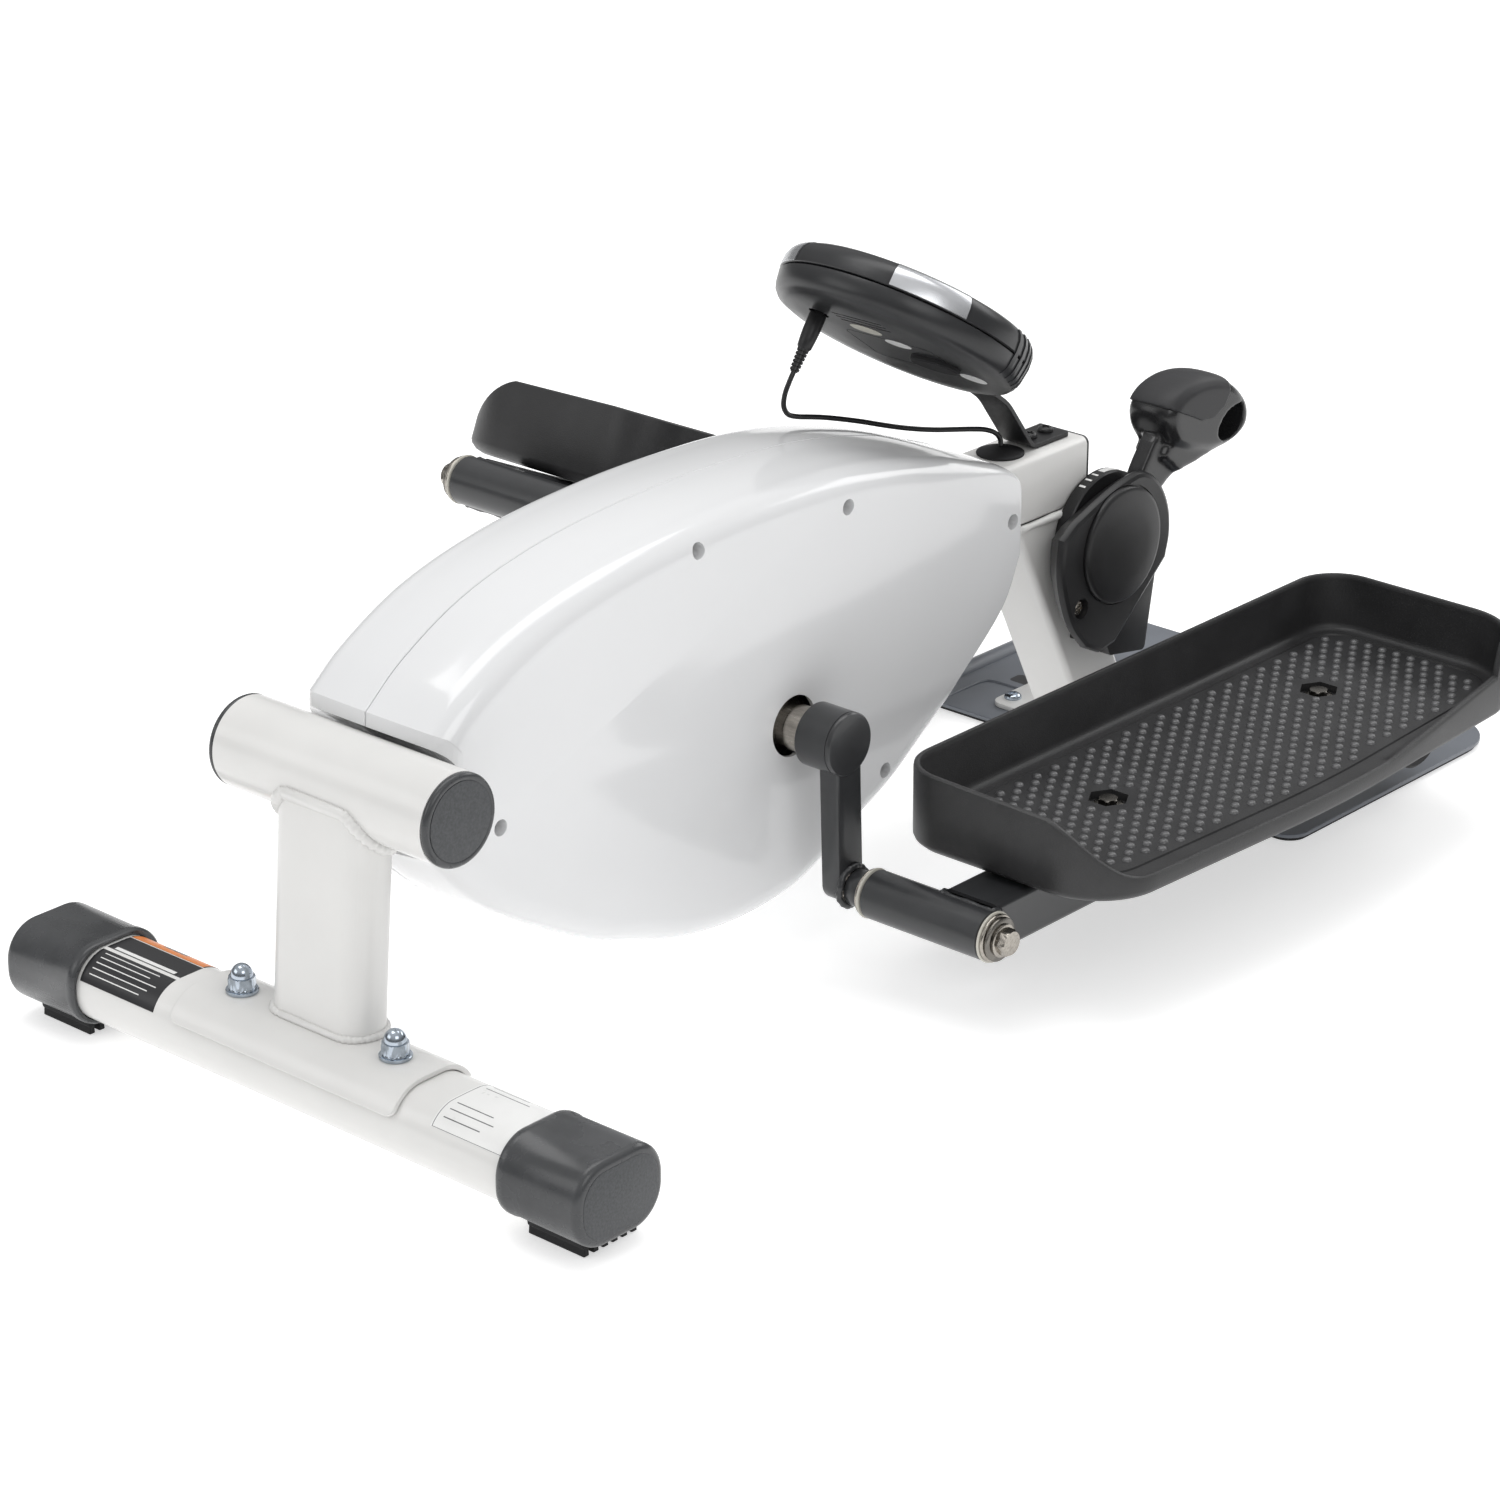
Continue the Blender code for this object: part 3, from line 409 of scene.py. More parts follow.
def surface(name, colour, roughness, metallic=0.0, grain=900.0, bump=0.1, depth=0.05, mottle=0.06, spread=0.08,
            patch=40.0, coat=0.0, pattern="NOISE", specular=0.5, stretch=(1, 1, 1)):
    """Colour mottle, roughness variation and a fine bump, all from noise in object space."""
    material = bpy.data.materials.new(name)
    material.use_nodes = True
    tree = material.node_tree
    place = shader(tree, "TexCoord", {}).outputs["Object"]
    place = shader(tree, "Mapping", {"Scale": stretch, "Vector": place}).outputs["Vector"]
    broad = shader(tree, "TexNoise", {"Scale": patch, "Detail": 5.0, "Vector": place}).outputs["Fac"]
    tint = shader(tree, "ValToRGB", {"Fac": broad})
    for element, position, shade in zip(tint.color_ramp.elements, (0.3, 0.7), (1 - mottle, 1 + mottle)):
        element.position = position
        element.color = (*(min(1.0, c * shade) for c in colour), 1.0)
    rough = shader(tree, "MapRange", {"Value": broad, "To Min": max(0.02, roughness - spread),
                                      "To Max": min(1.0, roughness + spread)})
    if pattern == "VORONOI":
        height = shader(tree, "TexVoronoi", {"Scale": grain, "Vector": place}).outputs["Distance"]
    else:
        height = shader(tree, "TexNoise", {"Scale": grain, "Detail": 3.0, "Vector": place}).outputs["Fac"]
    relief = shader(tree, "Bump", {"Strength": bump, "Distance": depth * MM, "Height": height})
    feed(tree.nodes["Principled BSDF"], {
        "Base Color": tint.outputs["Color"], "Roughness": rough.outputs["Result"], "Metallic": metallic,
        "Coat Weight": coat, "Coat Roughness": 0.06, "Specular IOR Level": specular,
        "Normal": relief.outputs["Normal"]})
    return material


def moulded(name, colour, roughness, **looks):
    """Plastic with the pebbled texture of its mould."""
    return surface(name, colour, roughness, pattern="VORONOI", **looks)


def printed(name, colour, roughness, mottle):
    return surface(name, colour, roughness, bump=0.05, depth=0.01, mottle=mottle, patch=70)


FRAME_WHITE = surface("frame_white", (0.735, 0.73, 0.715), 0.30, grain=700, bump=0.3, mottle=0.02,
                      spread=0.05, patch=25, coat=0.2)
SHELL_WHITE = surface("shell_white", (0.775, 0.78, 0.788), 0.16, grain=160, bump=0.04, depth=0.08,
                      mottle=0.008, spread=0.04, patch=12, coat=0.5)
CAP_BLACK = moulded("cap_black", (0.052, 0.054, 0.057), 0.27, grain=1500, bump=0.25, depth=0.04, mottle=0.15,
                    patch=60, specular=0.45)
FACE_BLACK = moulded("cap_face_black", (0.060, 0.063, 0.067), 0.55, grain=1300, bump=0.7, depth=0.08,
                     mottle=0.3, spread=0.12, patch=700)
RUBBER = surface("pad_rubber", (0.014, 0.014, 0.015), 0.65, grain=1200, bump=0.4, depth=0.08, mottle=0.2,
                 patch=90, specular=0.3)
TRAY_BLACK = moulded("tray_black", (0.026, 0.026, 0.027), 0.42, grain=1300, bump=0.6, depth=0.09, mottle=0.2,
                     spread=0.09, patch=35, specular=0.4)
# The studs are the tray's own plastic in a lighter grey than the tray: painted highlight on the domes.
STUD_HIGHLIGHT_GREY = surface("stud_highlight_grey", (0.085, 0.085, 0.088), 0.36, bump=0.15, depth=0.03, mottle=0.15,
                     spread=0.06, patch=60, specular=0.75)
TENSION_BLACK = moulded("tension_black", (0.014, 0.014, 0.015), 0.36, grain=1700, bump=0.4, mottle=0.18,
                        patch=45, specular=0.4)
GRIP_BLACK = surface("grip_black", (0.015, 0.015, 0.016), 0.25, grain=1500, bump=0.2, depth=0.03, mottle=0.1,
                     spread=0.03, patch=30)
PAD_BLACK = surface("lever_pad_black", (0.026, 0.026, 0.028), 0.5, grain=1700, bump=0.4, mottle=0.15,
                    patch=50, specular=0.4)
ARM_GREY = surface("arm_grey", (0.030, 0.031, 0.033), 0.30, grain=600, bump=0.25, depth=0.04, mottle=0.08,
                   spread=0.04, patch=70, coat=0.1)
PLATE_GREY = surface("plate_grey", (0.165, 0.178, 0.202), 0.34, grain=800, bump=0.3, depth=0.04, mottle=0.1,
                     spread=0.07, patch=20, specular=0.45)
ZINC = surface("zinc", (0.42, 0.47, 0.53), 0.16, 1.0, grain=500, bump=0.15, depth=0.03, mottle=0.2, patch=160)
STEEL = surface("steel", (0.36, 0.335, 0.30), 0.24, 1.0, bump=0.2, depth=0.03, mottle=0.2, spread=0.1,
                patch=120, stretch=(1, 6, 6))
DARK_STEEL = surface("dark_steel", (0.17, 0.16, 0.145), 0.26, 1.0, grain=700, bump=0.2, depth=0.03,
                     mottle=0.25, spread=0.1, patch=120)
IRON = surface("flywheel_iron", (0.20, 0.20, 0.21), 0.5, 1.0, grain=700, bump=0.4, depth=0.06, mottle=0.2,
               patch=90)
DRIVE = surface("drive_plastic", (0.05, 0.05, 0.055), 0.5, bump=0.3, mottle=0.1, patch=60)
NYLON = surface("nylon", (0.55, 0.53, 0.47), 0.4, grain=800, bump=0.15, depth=0.04, mottle=0.05, patch=90)
CONSOLE_GREY = moulded("console_grey", (0.020, 0.0205, 0.022), 0.31, grain=2000, bump=0.4, depth=0.04,
                       mottle=0.12, spread=0.06, patch=45, specular=0.45)
SILVER = surface("silver_trim", (0.60, 0.61, 0.63), 0.27, 0.9, grain=2500, bump=0.08, depth=0.01, mottle=0.03,
                 spread=0.02, patch=14)
LENS = surface("lens", (0.008, 0.009, 0.009), 0.07, grain=300, bump=0.02, depth=0.02, mottle=0.2, spread=0.02,
               patch=30, coat=1.0)
SEGMENTS = surface("display_grey", (0.22, 0.24, 0.21), 0.35, bump=0.05, depth=0.02, mottle=0.04, patch=60)
CABLE = surface("cable_black", (0.012, 0.012, 0.013), 0.38, grain=1800, bump=0.2, depth=0.03, mottle=0.1,
                patch=80, specular=0.45)
# Black of the printed labels; the same black also paints shade on the plate and in the gaps round the console's trim.
PRINT_AND_SHADE_BLACK = printed("print_and_shade_black", (0.015, 0.015, 0.017), 0.3, 0.1)
LABEL_ORANGE = printed("label_orange", (0.72, 0.23, 0.06), 0.35, 0.04)
LABEL_WHITE = printed("label_white", (0.80, 0.80, 0.79), 0.3, 0.02)
LABEL_INK = printed("label_ink", (0.13, 0.13, 0.14), 0.4, 0.1)


# Stand -----------------------------------------------------------------------------------------
STABILIZER = (-308.5, 31.0)
CROSS = (-280.0, 182.5)
CROSS_R = 25.0
CROSS_HALF = 75.5
TUBE = (56.0, 42.0)
TUBE_CORNER = TUBE[1] / 2 - 0.5


def stabilizer():
    outer = rounded(*TUBE, TUBE_CORNER, STABILIZER, 12)
    inner = rounded(TUBE[0] - 4, TUBE[1] - 4, TUBE_CORNER - 2, STABILIZER, 12)
    skin("stabilizer_tube", pipe(outer, inner, -204, 204, across), FRAME_WHITE)
    for side, hand in HANDS.items():
        skin(f"stabilizer_cap_{hand}", stabilizer_cap(side), CAP_BLACK, sharp=50)
        face = inset(rounded(63.0, 47.0, 21.0, (STABILIZER[0], STABILIZER[1] + 0.5), 14), 5.0)
        piece(f"cap_face_{hand}", sided(prism(face, 212.2, 213.0, across, 0.4), side), FACE_BLACK,
              slot="cap_black")
        skin(f"stabilizer_pad_{hand}", stabilizer_pad(side), RUBBER, bevel=0.5)
        skin(f"acorn_nut_{hand}", acorn_nut(side), ZINC)
    skin("saddle_plate", saddle_plate(), FRAME_WHITE, bevel=0.7)


def stabilizer_cap(side):
    """A moulded sleeve: a thin rolled lip at its mouth, drafted sides and a soft outer end."""
    centre = (STABILIZER[0], STABILIZER[1] + 0.5)
    outer = rounded(63.0, 47.0, 21.0, centre, 14)
    tube = rounded(TUBE[0] + 0.8, TUBE[1] + 0.8, TUBE_CORNER, STABILIZER, 14)
    rings = [across(tube, 203), across(tube, 157.5)]
    rings += [across(inset(outer, depth), x) for depth, x in (
        (1.2, 157.0), (0.3, 157.8), (0.0, 159.0), (0.0, 162.5), (0.5, 163.2), (0.2, 208))]
    for step in range(1, 7):
        angle = math.pi / 2 * step / 6
        rings.append(across(inset(outer, 0.2 + 4.2 * (1 - math.cos(angle))), 208.6 + 4.0 * math.sin(angle)))
    return sided(loft(rings), side)


def stabilizer_pad(side):
    y0, y1, ribs, groove = -324.0, -286.0, 6, 3.0
    pitch = (y1 - y0 + groove) / ribs
    sole = []
    for rib in range(ribs):
        start = y0 + rib * pitch
        end = start + pitch - groove
        sole += [(start + 0.4, 4.5), (start, 0.0), (end, 0.0), (end - 0.4, 4.5)]
    top = [(y1 + 0.5, 5.0), (y1 + 5, 9.5), (y1 + 1, 8.0), (y0 - 1, 8.0), (y0 - 0.5, 5.0)]
    return sided(prism(sole + top, 164.0, 202.0, across), side)


def saddle_plate():
    """Bent plate with rounded corners, as a curved grid that follows the tube."""
    y, z = STABILIZER
    flat = TUBE[0] / 2 - TUBE_CORNER
    stations = [(y + sense * flat, math.radians(start + 68 * step / 11))
                for sense, start in ((1, 22.0), (-1, 90.0)) for step in range(12)]
    columns, corner, layers = 40, 4.0, ([], [])
    for k, (cy, angle) in enumerate(stations):
        edge = max(0.0, corner - min(k, len(stations) - 1 - k) * 2.0)
        half = 83.0 - corner + math.sqrt(max(0.0, corner * corner - edge * edge))
        for layer, lift in zip(layers, (0.4, 3.4)):
            r = TUBE_CORNER + lift
            layer.append([(half * (2 * i / columns - 1), cy + r * math.cos(angle), z + 0.5 + r * math.sin(angle))
                          for i in range(columns + 1)])
    return slab(*layers)


def acorn_nut(side):
    """Washer, split collar, hexagon with chamfered corners and a domed cap."""
    base = STABILIZER[1] + TUBE[1] / 2 + 3.6
    flats = hexagon(13.0)
    rings = [(circle(8.6), 0.0), (circle(8.8), 0.3), (circle(8.8), 1.4), (circle(8.5), 1.7), (circle(7.0), 1.7),
             (circle(6.9), 2.1), (flats, 2.6), (flats, 7.8), (circle(7.0), 8.7), (circle(6.1), 8.9)]
    for step in range(1, 10):
        angle = math.radians(10 * step)
        rings.append((circle(6.1 * math.cos(angle) + 0.02), 8.9 + 6.8 * math.sin(angle)))
    placed = [[(57.0 + a, STABILIZER[0] + b, base + h) for a, b in points] for points, h in rings]
    return sided(loft(placed), side)


def front_post():
    outer = rounded(70.0, 30.0, 14.8, steps=14)
    inner = rounded(66.0, 26.0, 12.8, steps=14)
    low, high = (-300.0, 55.8), (-289.6, CROSS[1])
    rings = [[(a, b + y, z) for a, b in ring] for ring, (y, z) in
             ((outer, low), (outer, high), (inner, high), (inner, low))]
    post = cut(loft(rings, loop=True), rod(CROSS_R, -60, 60, across, CROSS, 64))
    skin("front_post", post, FRAME_WHITE)
    lean = (high[0] - low[0]) / (high[1] - low[1])
    seam = []
    edge = rounded(70.6, 30.6, 15.0, steps=26)
    for a, b in edge:
        z = low[1] + 60.0
        for _ in range(6):
            y = b + low[0] + lean * (z - low[1])
            z = CROSS[1] - math.sqrt(max(1.0, (CROSS_R + 0.6) ** 2 - (y - CROSS[0]) ** 2))
        seam.append((a, y, z - 0.8))
    strand("post_top_weld", seam, 3.4, FRAME_WHITE)
    foot = [(a, b + low[0], low[1] + 0.9) for a, b in edge]
    strand("post_foot_weld", foot, 2.0, FRAME_WHITE)


def cross_tube():
    tube = pipe(circle(CROSS_R, 72, CROSS), circle(CROSS_R - 2.5, 72, CROSS), -CROSS_HALF, CROSS_HALF, across)
    skin("cross_tube", tube, FRAME_WHITE)
    for side, hand in HANDS.items():
        r = CROSS_R
        profile = [(r - 2.8, 62.0), (r - 2.8, CROSS_HALF + 0.2), (r - 0.4, CROSS_HALF + 0.2), (r, CROSS_HALF + 0.7),
                   (r, CROSS_HALF + 2.2), (r - 0.5, CROSS_HALF + 3.2), (r - 1.6, CROSS_HALF + 3.9),
                   (r - 3.0, CROSS_HALF + 4.0), (r - 3.4, CROSS_HALF + 3.7), (r - 12, CROSS_HALF + 3.75)]
        skin(f"cross_tube_plug_{hand}", sided(turned(profile, across, CROSS, 72), side), CAP_BLACK, sharp=50)
        face = turned([(r - 3.8, CROSS_HALF + 3.0), (r - 3.8, CROSS_HALF + 3.9), (r - 4.2, CROSS_HALF + 4.0)], across,
                      CROSS, 72)
        piece(f"plug_face_{hand}", sided(face, side), FACE_BLACK, slot="cap_black")


def sticker(name, x, angles, material, lift=0.12):
    """A thin label that bends over the top of the stabilizer."""
    y, z = STABILIZER
    flat, crossing = TUBE[0] / 2 - TUBE_CORNER, math.radians(6)
    steps, layers = 16, ([], [])
    for k in range(steps + 1):
        angle = math.radians(angles[0] + (angles[1] - angles[0]) * k / steps)
        cy = y + flat * min(1.0, max(-1.0, (math.pi / 2 - angle) / crossing))
        for layer, up in zip(layers, (0.02, lift)):
            r = TUBE_CORNER + up
            layer.append([(px, cy + r * math.cos(angle), z + 0.5 + r * math.sin(angle)) for px in x])
    piece(name, slab(*layers), material, slot="frame_white")


def stickers():
    """Two plain labels where the machine carries them, with bars in place of any wording."""
    sticker("label_dark", (-156.0, -98.0), (42.0, 158.0), PRINT_AND_SHADE_BLACK)
    sticker("label_dark_header", (-155.0, -99.0), (43.5, 82.0), LABEL_ORANGE, 0.16)
    sticker("label_pale", (106.0, 156.0), (54.0, 146.0), LABEL_WHITE)
    sticker("label_dark_mark", (-136.0, -118.0), (56.0, 68.0), PRINT_AND_SHADE_BLACK, 0.2)
    for row in range(6):
        start = 92 + row * 10
        sticker(f"label_dark_bar_{row}", (-151.0, -104.0 - 4 * (row % 3)), (start, start + 1.6), LABEL_WHITE, 0.16)
    for row in range(5):
        start = 66 + row * 15
        sticker(f"label_pale_bar_{row}", (111.0, 136.0 + 5 * (row % 2)), (start, start + 1.6), LABEL_INK, 0.16)
    for k, edge in enumerate((55.0, 144.6)):
        sticker(f"label_pale_rule_{k}", (107.0, 155.0), (edge, edge + 0.7), LABEL_INK, 0.16)
    for k, x in enumerate((107.0, 154.6)):
        sticker(f"label_pale_edge_{k}", (x, x + 0.4), (55.0, 145.0), LABEL_INK, 0.16)


# Spine, rear post and floor plate --------------------------------------------------------------
SPINE = 40.0
SPINE_Z = 200.0
SPINE_Y = (-254.4, 299.5)
FLANGE_TOP = 8.3


def spine():
    outer = rounded(SPINE, SPINE, 4.5, (0.0, SPINE_Z), 8)
    inner = rounded(SPINE - 4, SPINE - 4, 2.5, (0.0, SPINE_Z), 8)
    skin("spine_tube", pipe(outer, inner, *SPINE_Y, along), FRAME_WHITE)
    end = SPINE_Y[1] + 0.2
    plug = rounded(SPINE - 4.6, SPINE - 4.6, 2.0, (0.0, SPINE_Z), 8)
    cap = [along(plug, end - 14), along(plug, end), along(inset(outer, 0.3), end), along(outer, end + 0.5),
           along(outer, end + 1.6), along(inset(outer, 0.8), end + 2.4)]
    skin("spine_end_cap", loft(cap), CAP_BLACK)


def rear_post():
    low, high = FLANGE_TOP + 0.1, SPINE_Z - SPINE / 2
    rings = []
    for wall in (0.0, 2.0):
        for z in (low, high) if wall == 0 else (high, low):
            front = 320.1 - (z - low) * 0.4995
            rings.append(level(rounded(SPINE - 2 * wall, 47.0 - 2 * wall, 4.5 - wall, (0.0, front + 23.5), 8), z))
    skin("rear_post", loft(rings, loop=True), FRAME_WHITE)
    for name, z, lift in (("spine_weld", high, -1.2), ("flange_weld", low, 0.9)):
        front = 320.1 - (z - low) * 0.4995
        seam = level(rounded(SPINE + 0.8, 47.8, 4.5, (0.0, front + 23.5), 14), z + lift)
        strand(name, dense(seam, 4), 2.2, FRAME_WHITE)


def floor_plate():
    corners = [(174, 308), (174, 528), (-146, 528), (-146, 332), (-56, 332), (-34, 308)]
    outline = fillet(corners, [14, 34, 34, 14, 12, 12], 10)
    top = 5.0
    rings = [level(inset(outline, 0.4), 2.5), level(outline, 2.8), level(outline, top - 0.4),
             level(inset(outline, 0.4), top)]
    skin("base_plate", loft(rings), PLATE_GREY)
    grip = inset(outline, 2.0)
    skin("base_grip", prism(grip, 0.0, 2.3, level, 0.4), RUBBER)
    tee = [(24, 312), (24, 349), (88, 349), (88, 405), (-88, 405), (-88, 349), (-24, 349), (-24, 312)]
    flange = prism(fillet(tee, [5, 3, 8, 8, 8, 8, 3, 5], 6), top + 0.1, FLANGE_TOP, level, 0.5)
    skin("foot_flange", flange, FRAME_WHITE)
    for side, hand in HANDS.items():
        skin(f"foot_screw_{hand}", sided(moved(cross_head(5.5, 3.3), 80, 362, FLANGE_TOP + 0.1), side), ZINC)
    ridge = smooth([(-117, 338, 4.6), (-117, 360, 5.0), (-116, 376, 5.0), (-111, 381, 5.0), (-92, 382, 5.0),
                    (-60, 382, 4.6)], 8)
    strand("plate_ridge", ridge, 1.2, PLATE_GREY, closed=False, ripple=0.0)
    lip = strip([(-143.5, 5.0), (-141.0, 8.6), (-136.5, 9.6), (-132.5, 8.2), (-131.0, 5.0)][::-1], 1.2)
    piece("plate_lip", prism(lip, 350, 492, along), PLATE_GREY, sharp=60)
    # A thin black sheet on the plate beside the foot flange: painted shade, not an opening in the plate.
    shade_edge = rounded(44, 12, 3, (-84, 396), 6)
    piece("plate_shade", prism(shade_edge, 4.95, 5.05, level), PRINT_AND_SHADE_BLACK, slot="plate_grey")


def cross_head(radius, height, depth=0.9, count=40):
    """A pan head with a cross recess, standing on Z = 0."""
    profile = [(radius, 0.0), (radius, height * 0.35), (radius * 0.93, height * 0.62), (radius * 0.75, height * 0.85),
               (radius * 0.45, height * 0.98), (0.02, height)]
    head = turned(profile, level, count=count)
    w, l = radius * 0.16, radius * 0.58
    return cut(head, block((-l, l), (-w, w), (height - depth, height + 2)),
               block((-w, w), (-l, l), (height - depth, height + 2)))


# Casing ----------------------------------------------------------------------------------------
SHELL_HALF = 54.0
SHELL_WALL = 2.5
SHELL_ROUND = 16.0
SHELL_CROWN = 3.0
FADE_FROM, FADE_LENGTH, FADE = 110.0, 80.0, 0.72
SHELL_SCREWS = ((-76.0, 262.0), (44.0, 254.0), (188.0, 206.0), (78.0, 88.0), (-227.0, 154.0))


def shell_outline():
    top = [(-268, 216), (-242, 236), (-200, 257), (-150, 270), (-90, 277), (-20, 279), (58, 275), (124, 262),
           (180, 242)]
    belly = [(200, 184), (185, 154.5), (154, 122), (135, 103.5), (96, 75), (63, 58.5), (26, 40.5), (-3, 32),
             (-44, 29.7), (-86, 35), (-118, 45), (-157, 59.5), (-216, 93.5), (-246, 117), (-271, 144)]
    shoulder = smooth([(180, 242), (189.5, 237.5), (197, 231.5), (200, 223)], 4)[1:]
    return (smooth(top, 8) + shoulder + smooth(belly, 7))[::-1]


def ease(share):
    """A share held between 0 and 1, with soft ends."""
    share = min(1.0, max(0.0, share))
    return share * share * (3 - 2 * share)


def shrink(outline, wall, drop):
    """The outline moved in by the wall and by the edge rounding, which fades out at the tight rear shoulder."""
    points = []
    for (y, z), (a, b) in zip(outline, inset(outline, 1.0)):
        distance = wall + drop * (1 - FADE * ease((y - FADE_FROM) / FADE_LENGTH))
        points.append((y + (a - y) * distance, z + (b - z) * distance))
    return points


def shell_solid(half, start, extra, steps=9):
    outline = shell_outline()
    radius = SHELL_ROUND - extra
    flat = half - radius
    sections = [(start, 0.6 if start > 0 else 0.0), (start + 0.5, 0.1)] if start > 0 else [(start, 0.0)]
    sections += [(flat * k / 5, SHELL_CROWN * (k / 5) ** 2) for k in range(1, 6)]
    for step in range(1, steps + 1):
        angle = math.pi / 2 * step / steps
        sections.append((flat + radius * math.sin(angle), SHELL_CROWN + radius * (1 - math.cos(angle))))
    return loft([across(shrink(outline, extra, drop), x) for x, drop in sections])


def shell(side, hand):
    """A moulded half with blind screw bosses, and the steel dust cup behind the crank."""
    outer = cut(shell_solid(SHELL_HALF, 0.25, 0.0), rod(28, -9, 70, across, CROSS, 96))
    hollow = cut(shell_solid(SHELL_HALF - SHELL_WALL, -2.0, SHELL_WALL, 5),
                 rod(28 + SHELL_WALL, -9, 70, across, CROSS, 64),
                 *[rod(7.0, 40.0, 60.0, across, spot, 28) for spot in SHELL_SCREWS])
    slot = block((-9, SPINE / 2 + 0.5), (-256.5, 215), (SPINE_Z - SPINE / 2 - 0.5, SPINE_Z + SPINE / 2 + 0.5))
    hole = rod(17.6, 30, 70, across, (0, CRANK_Z), 64)
    wells = [turned([(4.4, 43.5), (4.9, 70)], across, spot, 32) for spot in SHELL_SCREWS]
    skin(f"shell_{hand}", sided(cut(outer, hollow, slot, hole, *wells), side), SHELL_WHITE, sharp=28,
         bevel=0.5)
    turn = Matrix.Rotation(math.pi / 2, 4, "Y")
    for k, (y, z) in enumerate(SHELL_SCREWS):
        screw = moved(cross_head(3.6, 1.6, 0.8, 24), 43.6, y, z, turn)
        piece(f"shell_screw_{hand}_{k}", sided(screw, side), STEEL)
    cup = [(11.5, 55.5), (12.0, 50.5), (16.9, 46.0), (17.2, 46.0), (17.2, 45.0), (16.4, 45.0), (10.9, 50.0),
           (10.7, 55.5)]
    piece(f"dust_cup_{hand}", sided(turned(cup, across, (0, CRANK_Z), 64, loop=True), side), STEEL, sharp=50)


# Cranks ----------------------------------------------------------------------------------------

def crank_axle():
    r = 8.5
    profile = [(r - 1, -87), (r, -86), (r, -68), (12, -68), (13, -67), (13, -57), (12, -56), (r, -56),
               (r, 56), (12, 56), (13, 57), (13, 67), (12, 68), (r, 68), (r, 86), (r - 1, 87)]
    skin("crank_axle", turned(profile, across), STEEL, "crank", CRANK_FRAME)


def crank_side(bm, side):
    """Puts a part drawn for the left crank on its own side; the right crank points the other way."""
    return sided(moved(bm, turn=crank_turn(side)), side)


def crank_turn(side):
    return Matrix.Rotation(math.pi, 4, "X") if side < 0 else Matrix.Identity(4)


def crank_arm(side, hand):
    """Forged boss with a pressed end cap, flat arm and the welded pin of the pedal."""
    boss_profile = [(15.0, 69.0), (17.0, 69.0), (18.0, 70.0), (18.0, 91.0), (17.6, 91.2), (17.6, 91.7), (18.0, 91.9),
                    (18.0, 93.0), (17.2, 94.1), (15.5, 94.5)]
    boss = turned(boss_profile, across, count=64)
    bore = rod(8.8, 60, 88, across, count=48)
    reach = -CRANK_RADIUS
    bar = prism(rounded(20.0, CRANK_RADIUS + 10.0, 9.9, (0, reach / 2 - 5.0), 12), 80.0, 93.4, across, 1.4)
    arm = cut(union(boss, bar), bore)
    skin(f"crank_arm_{hand}", crank_side(arm, side), ARM_GREY, "crank", CRANK_FRAME, sharp=40)
    pin = turned([(10.0, 93.2), (10.6, 94.0), (10.0, 96.0), (6.0, 96.4), (6.0, 191.5), (5.2, 192.2)], across,
                 (0, reach), 40)
    piece(f"pedal_pin_{hand}", crank_side(pin, side), STEEL, "crank", CRANK_FRAME)
    mirror = Matrix.Diagonal((side, 1, 1, 1)) @ crank_turn(side)
    weld = [mirror @ Vector((94.2 + 0.5 * math.sin(5 * a), 11.2 * math.cos(a), reach + 11.2 * math.sin(a)))
            for a in (2 * math.pi * i / 60 for i in range(60))]
    strand(f"pin_weld_{hand}", weld, 2.0, ARM_GREY, "crank", CRANK_FRAME, ripple=0.12)
    for name, r, x0, x1, paint in (("nylon_washer_inner", 14.4, 108.2, 109.7, NYLON),
                                   ("steel_washer_inner", 13.6, 106.4, 108.0, STEEL),
                                   ("spacer", 10.5, 96.5, 106.2, ARM_GREY)):
        washer = turned(collar(6.2, r, x0, x1, 0.5), across, (0, reach), 56, loop=True)
        piece(f"{name}_{hand}", crank_side(washer, side), paint, "crank", CRANK_FRAME, slot="steel", sharp=50)


def pedal_bolt(side, hand):
    """Nylon ring, two plain washers, a spring washer and the hexagon head."""
    stack = ((14.4, 192.3, 193.6, NYLON), (13.6, 193.8, 195.8, STEEL), (12.4, 196.1, 198.3, DARK_STEEL))
    head = [(circle(9.2), 198.5), (circle(9.4), 198.8), (circle(9.4), 200.0), (circle(9.0), 200.3),
            (hexagon(13.5), 200.4), (hexagon(13.5), 204.6), (circle(6.7), 205.6), (circle(4.5), 205.8)]
    bolt = moved(loft([across(outline, x) for outline, x in head]), z=-CRANK_RADIUS)
    skin(f"pedal_bolt_{hand}", crank_side(bolt, side), STEEL, "crank", CRANK_FRAME, slot="zinc")
    for k, (r, x0, x1, paint) in enumerate(stack):
        washer = turned(collar(6.2, r, x0, x1, 0.4), across, (0, -CRANK_RADIUS), 56, loop=True)
        piece(f"pedal_washer_{hand}_{k}", crank_side(washer, side), paint, "crank", CRANK_FRAME, slot="steel",
              sharp=50)


# Pedals ----------------------------------------------------------------------------------------
ROLLER_AT = (418.0, -16.0)


